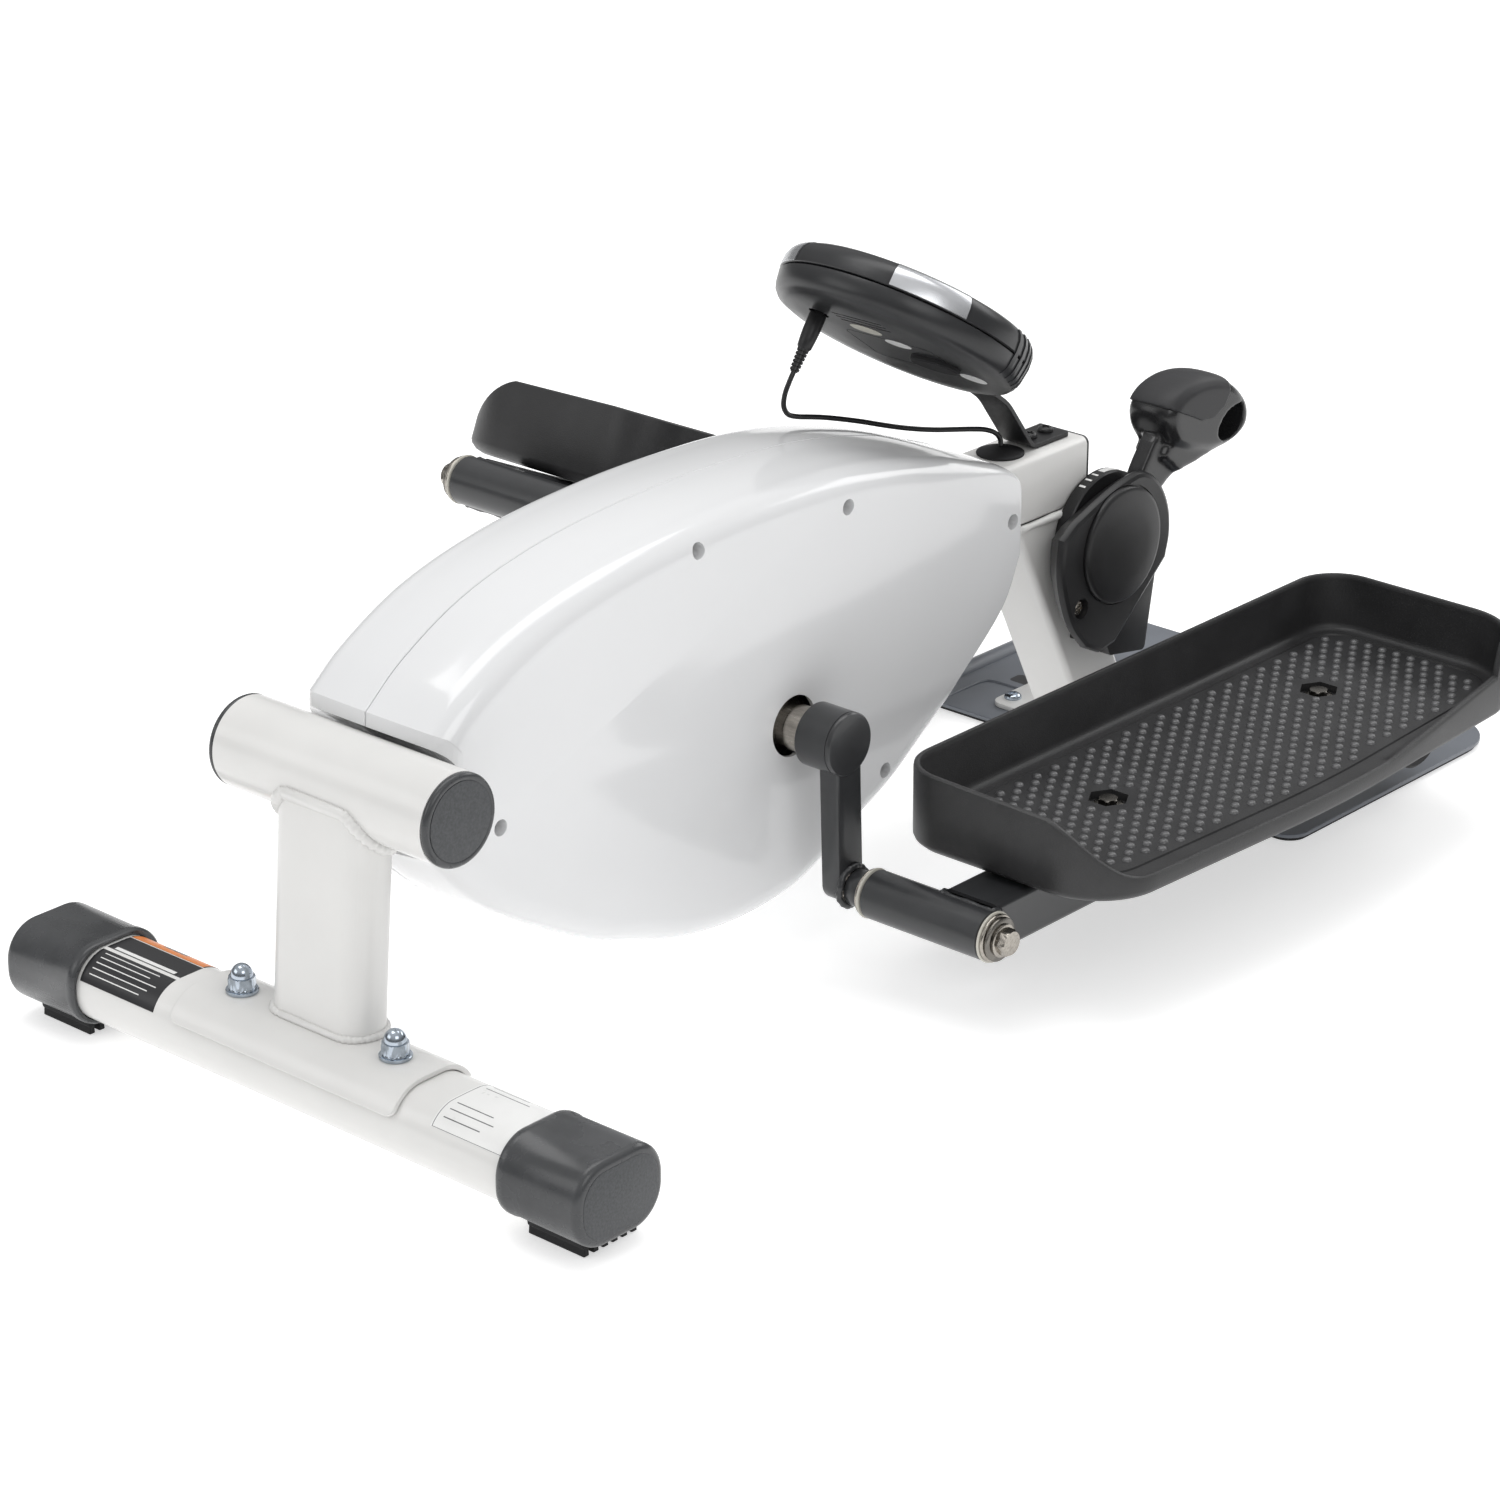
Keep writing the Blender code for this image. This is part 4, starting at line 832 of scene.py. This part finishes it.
def pedal_frame(side, hand):
    at, body = PEDAL_FRAMES[side], f"{hand}_pedal"
    x0, x1, z0, z1 = 154.0, 190.0, -14.0, 15.0
    centre = ((x0 + x1) / 2, (z0 + z1) / 2)
    arm = pipe(rounded(x1 - x0, z1 - z0, 3.6, centre, 6), rounded(x1 - x0 - 4, z1 - z0 - 4, 1.8, centre, 6), 7.0,
               387.8, along)
    sleeve = [(6.5, 110.2), (12.8, 110.2), (14.0, 111.2), (14.0, 191.0), (12.8, 192.0), (6.5, 192.0)]
    sleeve = turned(sleeve, across, count=64, loop=True)
    y, z = ROLLER_AT
    side_plate = fillet([(y - 42, z0 + 3), (y - 10, z - 9), (y + 8, z - 9), (y + 8, z + 12), (y - 10, z1 - 3),
                         (y - 42, z1 - 3)], [2, 8, 7, 7, 8, 2], 8)
    plates = [prism(side_plate, x, x + 4, across) for x in (x0, x1 - 4)]
    axle = rod(5, x0 + 1, x1 - 1, across, ROLLER_AT, 32)
    cap = turned([(7.5, x1 - 0.1), (7.5, x1 + 1.5), (6.3, x1 + 2.1)], across, ROLLER_AT, 32)
    bore = rod(6.3, 100, 200, across, count=40)
    whole = cut(union(arm, rod(13.9, 111.3, 190.9, across, count=64), *plates, axle, cap), bore)
    skin(f"pedal_frame_{hand}", sided(gather(whole, sleeve), side), ARM_GREY, body, at, sharp=40, bevel=0.6)
    seam = []
    for x, height in dense(rounded(37.0, 29.0, 3.5, centre, 3), 6):
        reach = math.sqrt(max(0.0, 14.0 ** 2 - min(14.0, abs(height)) ** 2))
        seam.append((side * x, max(reach, 2.0) + 0.5, max(-13.2, min(13.2, height))))
    strand(f"pedal_weld_{hand}", seam, 1.5, ARM_GREY, body, at, ripple=0.2)


def roller(side, hand):
    """Rubber-tyred wheel: ribbed tread and dished hub; its pressed axle cap is drawn with the pedal frame."""
    r, x0, x1 = 22.0, 160.0, 184.0
    profile = [(5.4, x0 + 1), (9, x0 + 1), (10, x0 + 3), (16, x0 + 3), (17, x0), (r - 2, x0), (r, x0 + 2),
               (r, x0 + 6), (r - 0.8, x0 + 6.6), (r - 0.8, x0 + 7.4), (r, x0 + 8), (r, x1 - 8), (r - 0.8, x1 - 7.4),
               (r - 0.8, x1 - 6.6), (r, x1 - 6), (r, x1 - 2), (r - 2, x1), (17, x1), (16, x1 - 3), (10, x1 - 3),
               (9, x1 - 1), (5.4, x1 - 1)]
    at = local(Vector((0, ROLLERS[side].y, ROLLERS[side].z)))
    skin(f"roller_{hand}", sided(turned(profile, across, count=64, loop=True), side), RUBBER,
         f"{hand}_roller", at, sharp=40)


# Foot trays, in the pedal's frame --------------------------------------------------------------
TRAY_X = (96.0, 252.0)
TRAY_Y = (29.0, 439.0)
TRAY_BASE = 16.0
TRAY_FLOOR = 29.0
TRAY_RIM = 64.0
TRAY_LIP = 30.2
HEEL_END, HEEL_RUN, HEEL_SIDE = 404.0, 14.0, 200.0
TOE_START, TOE_RUN, TOE_SLANT = 190.0, 86.0, 0.8
STUD_PITCH = (10.2, 8.2)
STUD_RADIUS = 2.9
STUD_HEIGHT = 1.7
STUD_BORDER = 20.0
BOLT_CLEARANCE = 15.0
TRAY_BOLTS = ((165.0, 135.0), (160.0, 343.0))


def tray_outline():
    middle, bow = sum(TRAY_Y) / 2, TRAY_X[1] + 5
    corners = [(TRAY_X[0], TRAY_Y[0]), (TRAY_X[1] - 6, TRAY_Y[0]), (bow, middle), (TRAY_X[1] - 6, TRAY_Y[1]),
               (TRAY_X[0], TRAY_Y[1])]
    return fillet(corners, [30.0, 45.0, 900.0, 45.0, 30.0], 20)


def rim_height(x, y):
    """Full height at the back and inner side; a long run-out at the toe and a short one at the heel."""
    if y > sum(TRAY_Y) / 2:
        share = (HEEL_END - y) / HEEL_RUN if x > HEEL_SIDE else 0.0
    else:
        share = (x - TOE_START + TOE_SLANT * (y - TRAY_Y[0])) / TOE_RUN
    return TRAY_RIM + (TRAY_LIP - TRAY_RIM) * ease(share)


def foot_tray(side, hand):
    """Moulded tray: rounded rim, filleted floor with a border groove and hexagonal bolt wells."""
    outline = tray_outline()
    base, floor = TRAY_BASE, TRAY_FLOOR

    def wall(distance, drop, rise=TRAY_RIM):
        return [(a, b, max(floor, min(rim_height(x, y) - drop, floor + rise)))
                for (a, b), (x, y) in zip(inset(outline, distance), outline)]

    rings = [level(inset(outline, 9.0), base), level(inset(outline, 4.5), base + 1.4),
             level(inset(outline, 1.2), base + 4.2), level(inset(outline, 0.2), base + 6.5),
             [(a, b, rim_height(a, b) - 3.0) for a, b in outline], wall(0.3, 0.9), wall(1.1, 0.2), wall(2.2, 0.0),
             wall(3.3, 0.2), wall(4.0, 1.2), wall(4.3, 3.0)]
    for distance, rise in ((5.0, 4.5), (5.8, 2.0), (7.4, 0.6), (9.6, 0.0)):
        rings.append(wall(distance, 3.0, rise))
    rings += [level(inset(outline, d), floor + h) for d, h in ((13.0, 0.0), (13.5, -0.9), (15.2, -0.9), (15.7, 0.0))]
    tray = loft(rings)
    for spot in TRAY_BOLTS:
        tray = cut(tray, prism(hexagon(21.0, 12, spot), 24.4, floor + 3, level),
                   rod(4.4, base - 2, 26, level, spot, 24))
    at, body = PEDAL_FRAMES[side], f"{hand}_pedal"
    skin(f"foot_tray_{hand}", sided(tray, side), TRAY_BLACK, body, at)
    # The studs' lighter grey is painted highlight.
    piece(f"tray_studs_{hand}", sided(tray_studs(), side), STUD_HIGHLIGHT_GREY, body, at, slot="tray_black", sharp=60)
    for spot, where in zip(TRAY_BOLTS, ("front", "rear")):
        rings = [(circle(4.0), 17.0), (circle(4.0), 24.5), (circle(8.4), 24.5), (circle(8.6), 24.8),
                 (circle(8.6), 25.6), (circle(8.2), 25.9), (hexagon(10.5), 26.0), (hexagon(10.5), 28.6),
                 (circle(5.2), 29.2), (circle(4.2), 29.3)]
        bolt = loft([[(spot[0] + a, spot[1] + b, z) for a, b in ring] for ring, z in rings])
        skin(f"tray_bolt_{hand}_{where}", sided(bolt, side), DARK_STEEL, body, at, slot="steel")


def tray_studs():
    """The grip pattern: staggered rows of low domes inside the border groove."""
    border = inset(tray_outline(), STUD_BORDER)
    width, length = TRAY_X[1] - TRAY_X[0], TRAY_Y[1] - TRAY_Y[0]
    bm = bmesh.new()
    for row in range(int((length - 40.0) / STUD_PITCH[1]) + 1):
        for column in range(int((width - 30.0) / STUD_PITCH[0]) + 1):
            x = TRAY_X[0] + 21.0 + (column + 0.5 * (row % 2)) * STUD_PITCH[0]
            y = TRAY_Y[0] + 21.0 + row * STUD_PITCH[1]
            clear = all(math.hypot(x - bx, y - by) > BOLT_CLEARANCE for bx, by in TRAY_BOLTS)
            if clear and inside(border, (x, y)):
                stud(bm, x, y, STUD_RADIUS, STUD_HEIGHT)
    return bm


def inside(outline, point):
    x, y = point
    odd = False
    for (x0, y0), (x1, y1) in zip(outline, outline[1:] + outline[:1]):
        if (y0 > y) != (y1 > y) and x < (x1 - x0) * (y - y0) / (y1 - y0) + x0:
            odd = not odd
    return odd


def stud(bm, x, y, radius, height):
    rows = []
    for share in (1.0, 0.82, 0.5):
        rise = TRAY_FLOOR + height * math.sqrt(1 - share * share) if share < 1 else TRAY_FLOOR - 0.2
        rows.append([bm.verts.new((x + radius * share * math.cos(a), y + radius * share * math.sin(a), rise))
                     for a in (2 * math.pi * i / 12 for i in range(12))])
    tip = bm.verts.new((x, y, TRAY_FLOOR + height))
    for low, high in zip(rows, rows[1:]):
        for i in range(12):
            j = (i + 1) % 12
            bm.faces.new((low[i], low[j], high[j], high[i]))
    for i in range(12):
        bm.faces.new((rows[-1][i], rows[-1][(i + 1) % 12], tip))
    bm.faces.new(rows[0][::-1])


# Console ---------------------------------------------------------------------------------------

def case_profile():
    """Radius and height of the console's skin, from the middle of the underside to the top rim."""
    r, h = CONSOLE_R, CONSOLE_HALF
    low = [(r - 19, -h), (r - 9, -h + 0.8), (r - 4.5, -h + 2.4), (r - 2.2, -h + 5), (r - 1.2, -h + 8),
           (r - 0.2, -1.0)]
    high = [(r, 1.0), (r - 0.4, h - 9), (r - 1.6, h - 5.5), (r - 4.0, h - 2.6), (r - 7.5, h - 0.8), (r - 12, h)]
    return low, high


def skin_patch(start, end, profile, lift, steps=14):
    """A thin panel that lies on the console's skin between two angles."""
    turns = [math.radians(start + (end - start) * k / steps) for k in range(steps + 1)]
    return slab(*[[[((r + up) * math.cos(a), (r + up) * math.sin(a), z + up * 0.5) for r, z in profile]
                   for a in turns] for up in (0.0, lift)])


def console():
    low, high = case_profile()
    r, h = CONSOLE_R, CONSOLE_HALF
    bottom = [(r - 19, -h + 2.5), (r - 3, -4), (r - 3, -0.4), (r - 1.0, -0.4), (r - 0.3, -0.8)] + low[::-1]
    slot = block((-12, 12), (40, 80), (-8.6, -4.0))
    socket = rod(6.2, -h - 3, -h + 5, level, JACK_AT, 32)
    door = cut(prism(rounded(64, 40, 6, (4, 8)), -h - 1, -h + 0.5, level),
               prism(rounded(62.6, 38.6, 5.4, (4, 8)), -h - 2, -h + 1, level))
    grooves = [block((-16, 20), (y, y + 1.6), (-h - 1, -h + 1.2)) for y in (-32, -37, -42)]
    case = cut(turned(bottom, level, count=112), slot, socket, door, *grooves)
    skin("console_bottom", case, CONSOLE_GREY, at=CONSOLE)
    top = [(r - 12, h - 2.5), (r - 3, h - 9), (r - 3, 0.2), (r - 1.0, 0.2), (r - 0.3, 0.6)] + high
    window = prism(rounded(74, 46, 6, (0, -10)), h - 6, h + 6, level)
    key_hole = rod(10.3, h - 6, h + 6, level, (0, 34), 48)
    cap = cut(turned(top, level, count=112), window, key_hole)
    skin("console_top", cap, CONSOLE_GREY, at=CONSOLE)
    for k, middle in enumerate((-45.0, -135.0)):
        trim = skin_patch(middle - 18, middle + 18, high, 0.35, 20)
        piece(f"silver_trim_{k}", trim, SILVER, at=CONSOLE, slot="console_grey", sharp=50)
        # Thin black strips along both edges of the trim: painted shade in the gap round it.
        for j, edge in enumerate((middle - 19.2, middle + 18.4)):
            line = skin_patch(edge, edge + 0.8, high, 0.12, 2)
            piece(f"trim_gap_shade_{k}_{j}", line, PRINT_AND_SHADE_BLACK, at=CONSOLE, slot="console_grey")
    side = low[2:] + high[:4]
    for k in range(5):
        for j, middle in enumerate((8.0 + 6.5 * k, 172.0 - 6.5 * k)):
            rib = skin_patch(middle - 1.4, middle + 1.4, side, 0.7, 4)
            piece(f"grip_rib_{j}_{k}", rib, CONSOLE_GREY, at=CONSOLE, sharp=60)
    glass = prism(rounded(73.4, 45.4, 5.7, (0, -10)), h - 2.4, h - 0.5, level, 0.4)
    skin("console_lens", glass, LENS, at=CONSOLE)
    panel = prism(rounded(60, 30, 2.0, (0, -10)), h - 0.45, h - 0.3, level)
    piece("display_panel", panel, SEGMENTS, at=CONSOLE, slot="lens")
    bars = [block((-26 + 8 * k, -21 + 8 * k), (-14, -6), (h - 0.28, h - 0.2)) for k in range(7)]
    piece("display_segments", gather(*bars), LENS, at=CONSOLE)
    key = [(8.5, h - 5.5), (10.0, h - 5.0), (10.0, h + 0.4), (9.6, h + 1.1), (8.4, h + 1.5), (4.0, h + 1.1),
           (0.5, h + 0.9)]
    skin("mode_key", turned(key, level, (0, 34), 56), SILVER, "key", CONSOLE, slot="console_grey")
    underside(h)


def underside(h):
    """Stickers without wording and the strap's rubber pad under the console; its sunk slots are cut in the case."""
    for name, centre, size, paint in (("sticker_green", (-4, -22), (11, 6), NYLON),
                                      ("sticker_white_a", (10, -8), (9, 5), LABEL_WHITE),
                                      ("sticker_white_b", (42, 26), (9, 6), LABEL_WHITE)):
        oval = ellipse(size, 40, centre)
        piece(name, prism(oval, -h - 0.2, -h - 0.02, level), paint, at=CONSOLE, slot="console_grey")
    oval = ellipse((17, 9), 48, (24, 12))
    pad = loft([level(oval, -h), level(oval, -h - 2.0), level(inset(oval, 1.2), -h - 3.0)])
    piece("console_foot_pad", pad, RUBBER, at=CONSOLE)


def in_console(y, z):
    return (CONSOLE_AT[0] + y * math.cos(CONSOLE_TILT) + z * math.sin(CONSOLE_TILT),
            CONSOLE_AT[1] - y * math.sin(CONSOLE_TILT) + z * math.cos(CONSOLE_TILT))


def bracket():
    """Bent flat strip with rounded edges, its screws and the cable grommet."""
    top = SPINE_Z + SPINE / 2
    corner, knee = Vector((261.5, top + 3.1)), Vector(in_console(107.5, -4.8))
    rise = (knee - corner).normalized()
    tongue = (Vector(in_console(46.0, -4.8)) - knee).normalized()

    def bend(point, before, after, reach, steps=5):
        ends = [point - before * reach, point + after * reach]
        return [tuple(ends[0].lerp(point, k / steps).lerp(point.lerp(ends[1], k / steps), k / steps))
                for k in range(steps + 1)]

    path = [(293.0, top + 3.1)] + bend(corner, Vector((-1, 0)), rise, 5.0) + bend(knee, rise, tongue, 6.0)
    path.append(in_console(46.0, -4.8))
    skin("console_bracket", prism(strip(path, 3.0), -11.0, 11.0, across), TENSION_BLACK, slot="bracket_black",
         sharp=45, bevel=0.5)
    for y, where in ((270.0, "front"), (285.0, "rear")):
        head = cross_head(4.7, 2.8)
        skin(f"bracket_screw_{where}", moved(head, 0, y, top + 3.3), TENSION_BLACK, slot="bracket_black")
    z = top + 0.1
    profile = [(14.0, z), (14.2, z + 0.5), (14.0, z + 1.1), (12.0, z + 1.9), (9.0, z + 2.6), (6.2, z + 3.6),
               (4.4, z + 4.3), (2.6, z + 4.5)]
    skin("cable_grommet", turned(profile, level, (0, 243.0), 56), RUBBER, sharp=60)


# Sensor cable, in the machine's frame ----------------------------------------------------------
CABLE_R = 1.5
CABLE_ROUTE = (
    (0.0, 243.0, 225.0), (0.0, 242.6, 229.0), (-1.0, 239.0, 233.5), (-3.0, 232.0, 236.8),
    (-5.0, 222.0, 239.2), (-8.0, 210.0, 241.4), (-11.0, 198.0, 243.6), (-15.0, 186.0, 246.2),
    (-19.0, 174.0, 249.4), (-23.0, 162.0, 253.2), (-27.0, 150.0, 257.2), (-31.0, 138.0, 260.8),
    (-34.0, 126.0, 264.2), (-35.5, 115.0, 267.0), (-36.0, 105.0, 269.6), (-35.5, 96.5, 273.2),
    (-34.0, 91.0, 279.5), (-32.6, 90.2, 287.0), (-32.0, 93.4, 294.0), (-32.0, 96.9, 298.8),
)


def sensor_cable():
    path = smooth(CABLE_ROUTE, 5)
    cable = strand("sensor_cable_skin", path, CABLE_R, CABLE, closed=False, ripple=0.0, resolution=4)
    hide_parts("sensor_cable")
    low = -CONSOLE_HALF
    profile = [(2.6, low + 4), (2.6, low - 0.6), (4.6, low - 0.6), (5.0, low - 1.2), (5.0, low - 11), (4.7, low - 16),
               (4.2, low - 21), (3.5, low - 22)]
    for k in range(6):
        z = low - 22.4 - 2.3 * k
        crest, valley = 3.4 - 0.12 * k, 2.6 - 0.1 * k
        profile += [(crest, z), (crest, z - 1.3), (valley, z - 1.5), (valley, z - 2.1)]
    plug = skin("jack_plug", turned(profile, level, JACK_AT, 40), CABLE, at=CONSOLE, sharp=50)
    route = [MACHINE @ Vector(p) for p in path]
    length = sum((b - a).length for a, b in zip(route, route[1:]))
    tuple(route[0])


# Tension control -------------------------------------------------------------------------------
DISC_AT = (303.0, 158.0)


def tension_control():
    """Cover with a chamfered shoulder over the drum's guard and the foot behind it, and its round cap."""
    x0, x1 = 30.5, 45.0
    crown = smooth([(258, 184), (282, 192.5), (304, 198), (322, 199), (338, 189), (348, 172), (350.5, 154),
                    (347, 138)], 6)
    front = smooth([(270, 102), (256, 119), (247, 142), (244.5, 158.6), (246, 176)], 6)
    cover = [(a + 2.0, b - 1.0) for a, b in (crown + [(299, 97), (285, 94.5)] + front)[::-1]]
    shield = loft([across(inset(cover, 7.0), x0), across(inset(cover, 1.0), x1 - 6.0), across(cover, x1 - 4.4),
                   across(inset(cover, 0.3), x1 - 2.6), across(inset(cover, 1.3), x1 - 1.0),
                   across(inset(cover, 3.4), x1)])
    foot_outline = [(349, 150), (337, 80), (303, 86), (296, 100), (270, 140), (300, 170)][::-1]
    foot = prism(fillet(foot_outline, [3, 3, 3, 3, 3, 3], 4), x0 + 0.1, x1 - 5.5, across, 0.8)
    seat = rod(36.6, x1 - 1.0, x1 + 4, across, DISC_AT, 96)
    well = turned([(5.4, x1 - 4.2), (6.2, x1 - 1.0), (6.6, x1 + 3)], across, (266, 128), 40)
    guard = block((20.3, x0 + 2), (288, 328), (97, 112))
    pin = rod(5, 20.3, x0 + 2, across, ((LEVER.y - CRANK.y) / MM, LEVER.z / MM), 32)
    body = gather(cut(shield, seat, well), foot, guard, pin)
    skin("tension_housing", body, TENSION_BLACK, slot="tray_black", sharp=24, bevel=0.4)
    turn = Matrix.Rotation(math.pi / 2, 4, "Y")
    piece("tension_screw", moved(cross_head(4.9, 2.4), x1 - 4.0, 266, 128, turn), STEEL)
    x, r = x1 - 0.8, 35.6
    profile = [(r, x), (r, x + 1.8), (r - 0.4, x + 2.7), (r - 1.3, x + 3.3), (r - 3, x + 3.7), (r - 15, x + 4.4),
               (2, x + 4.7)]
    skin("tension_disc", turned(profile, across, DISC_AT, 96), TENSION_BLACK, slot="tray_black", sharp=50)


def lever():
    """Drum with its scale, the neck and the hand grip with a finger hole, in the lever's frame."""
    r, x0, x1 = 40.0, 20.8, 30.0
    skin("tension_drum", turned(collar(5.4, r, x0, x1, 0.8), across, count=96, loop=True), TENSION_BLACK,
         "lever", LEVER_FRAME, slot="tray_black")
    for k, (start, end) in enumerate(((70, 92), (99, 101), (108, 110), (117, 119))):
        turns = [math.radians(start + (end - start) * t / 12) for t in range(13)]
        arc = [((r + up) * math.cos(a), (r + up) * math.sin(a)) for up, order in ((0.25, turns), (-0.3, turns[::-1]))
               for a in order]
        piece(f"drum_scale_{k}", prism(arc, x0 + 2.4, x1 - 2.4, across), LABEL_WHITE, "lever", LEVER_FRAME,
              slot="tray_black")
    y, z = (LEVER.y - CRANK.y) / MM, LEVER.z / MM

    def shifted(points):
        return [(a - y, b - z) for a, b in points]

    loop = [(361, 201), (355, 211), (354, 223), (363, 233), (380, 237.5), (400, 236), (419, 229), (432, 219),
            (438.5, 209), (438, 198), (431, 191), (419, 187.5), (404, 187), (390, 190), (374, 195)]
    grip = shifted(smooth(loop + loop[:1], 4)[:-1])[::-1]
    hole = shifted(smooth([(428, 214), (415, 212), (407, 206), (404, 199.5), (408, 194.5), (415.6, 193),
                           (422, 194.5), (427, 200), (429, 207), (428, 214)], 4)[:-1])

    def bulb(extra):
        rings = []
        for k in range(13):
            t = -1 + k / 6
            rings.append(across(inset(grip, 7.0 * (1 - math.sqrt(max(0.0, 1 - abs(t) ** 2.6))) - extra),
                                22.0 + (17.5 + extra) * t))
        return loft(rings)

    neck = shifted([(336, 183), (342, 193), (352, 207), (372, 214), (398, 206), (404, 190), (392, 183.5),
                    (374, 181.5), (364.5, 176.5), (352, 168)])[::-1]
    flare = shifted([(356, 196), (372, 214), (412, 208), (414, 189), (396, 185.5), (372, 183)])[::-1]
    rough = gather(bulb(0.0), prism(neck, 19.0, 31.0, across), prism(flare, 11.0, 35.0, across))
    through = prism(hole, -5, 50, across)
    bmesh.ops.recalc_face_normals(through, faces=through.faces)
    shape = soften(cut(soften(rough, 1.5, 8), through), 1.0, 5)
    skin("tension_lever", shape, GRIP_BLACK, "lever", LEVER_FRAME, slot="tray_black", sharp=180)
    region = shifted([(335, 232), (350, 229), (364, 223), (386, 212.5), (398, 211.5), (408, 216), (414, 225),
                      (420, 238), (418, 256), (338, 256)])
    palm = combine(soften(bulb(1.1), 1.2, 2), prism(fillet(region, 5.0, 5), -8, 60, across), "INTERSECT")
    piece("lever_pad", soften(palm, 0.9, 2), PAD_BLACK, "lever", LEVER_FRAME, slot="tray_black", sharp=180)


# Inside the casing -----------------------------------------------------------------------------

def internals():
    """CAD nodes whose shape is right keep it and take a finished material."""
    finishes = {
        "bottom_bracket": FRAME_WHITE, "flywheel_hanger": FRAME_WHITE, "crank_bearing_left": STEEL,
        "crank_bearing_right": STEEL, "drive_belt": RUBBER, "drive_pulley": DRIVE, "flywheel": IRON,
        "pulley_shaft": STEEL, "magnet_carriage": DRIVE,
    }
    for name, paint in finishes.items():
        node = frame["nodes"][name]
        node.data.materials.clear()
        node.data.materials.append(paint)


# Stage -----------------------------------------------------------------------------------------
WHITE = (1.0, 1.0, 1.0, 1.0)
FLOOR_GLOW = 0.53
SKY = ((0.0, 0.22), (0.25, 0.30), (0.55, 0.75), (1.0, 1.0))
SKY_STRENGTH = 0.8
LENS_RATIO = 3.08
LIGHTS = (
    ("key", (1.9, -1.0, 1.7), (0.0, 0.0, 0.15), (1.4, 1.0), 9),
    ("top", (-0.2, 0.1, 2.2), (0.0, 0.0, 0.1), (2.4, 1.0), 20),
    ("fill", (-1.2, -2.2, 1.3), (0.0, -0.1, 0.15), (1.6, 1.0), 8),
    ("back", (0.4, 2.4, 1.5), (0.0, 0.1, 0.15), (2.2, 0.8), 14),
)

def area_light(name, place, aim, size, power):
    data = bpy.data.lights.new(name, "AREA")
    data.shape = "RECTANGLE"
    data.size, data.size_y = size
    data.energy = power
    lamp = add(name, data)
    lamp.location = place
    lamp.rotation_euler = (Vector(aim) - Vector(place)).to_track_quat("-Z", "Y").to_euler()


def stage():
    bm = bmesh.new()
    bmesh.ops.create_grid(bm, x_segments=2, y_segments=2, size=14.0)
    floor = add("floor", mesh_of(bm, "floor"))
    floor.location.z = -0.0004
    paper = surface("floor_paper", (0.80, 0.80, 0.80), 0.8, grain=120, bump=0.02, depth=0.02, mottle=0.004, patch=2,
                    specular=0.2)
    feed(paper.node_tree.nodes["Principled BSDF"], {"Emission Color": WHITE, "Emission Strength": FLOOR_GLOW})
    floor.data.materials.append(paper)
    world = bpy.data.worlds.new("studio")
    world.use_nodes = True
    tree = world.node_tree
    up = shader(tree, "SeparateXYZ", {"Vector": shader(tree, "TexCoord", {}).outputs["Generated"]})
    ramp = shader(tree, "ValToRGB", {"Fac": up.outputs["Z"]})
    ramp.color_ramp.elements[1].position = 1.0
    for position, _ in SKY[1:-1]:
        ramp.color_ramp.elements.new(position)
    for element, (position, value) in zip(ramp.color_ramp.elements, SKY):
        element.position = position
        element.color = (value, value, value, 1.0)
    sky = feed(tree.nodes["Background"], {"Color": ramp.outputs["Color"], "Strength": SKY_STRENGTH})
    sweep = shader(tree, "Background", {"Color": WHITE})
    choice = shader(tree, "MixShader", {"Fac": shader(tree, "LightPath", {}).outputs["Is Camera Ray"]})
    tree.links.new(sky.outputs["Background"], choice.inputs[1])
    tree.links.new(sweep.outputs["Background"], choice.inputs[2])
    feed(tree.nodes["World Output"], {"Surface": choice.outputs["Shader"]})
    bpy.context.scene.world = world
    bpy.context.scene.view_settings.view_transform = "Standard"
    for name, place, aim, size, power in LIGHTS:
        area_light(name, place, aim, size, power)


def camera():
    data = bpy.data.cameras.new("camera")
    data.sensor_width = 36.0
    data.lens = LENS_RATIO * data.sensor_width
    data.clip_end = 100.0
    obj = add("camera", data)
    obj.location = MACHINE @ Vector((1579.5, -1748.3, 1110.0))
    obj.rotation_euler = (math.radians(67.0), 0.0, math.radians(41.7))
    bpy.context.scene.camera = obj


camera()
stage()
sensor_cable()
stabilizer()
front_post()
cross_tube()
stickers()
spine()
rear_post()
floor_plate()
crank_axle()
for side, hand in HANDS.items():
    shell(side, hand)
    crank_arm(side, hand)
    pedal_bolt(side, hand)
    pedal_frame(side, hand)
    roller(side, hand)
    foot_tray(side, hand)
console()
bracket()
tension_control()
lever()
internals()
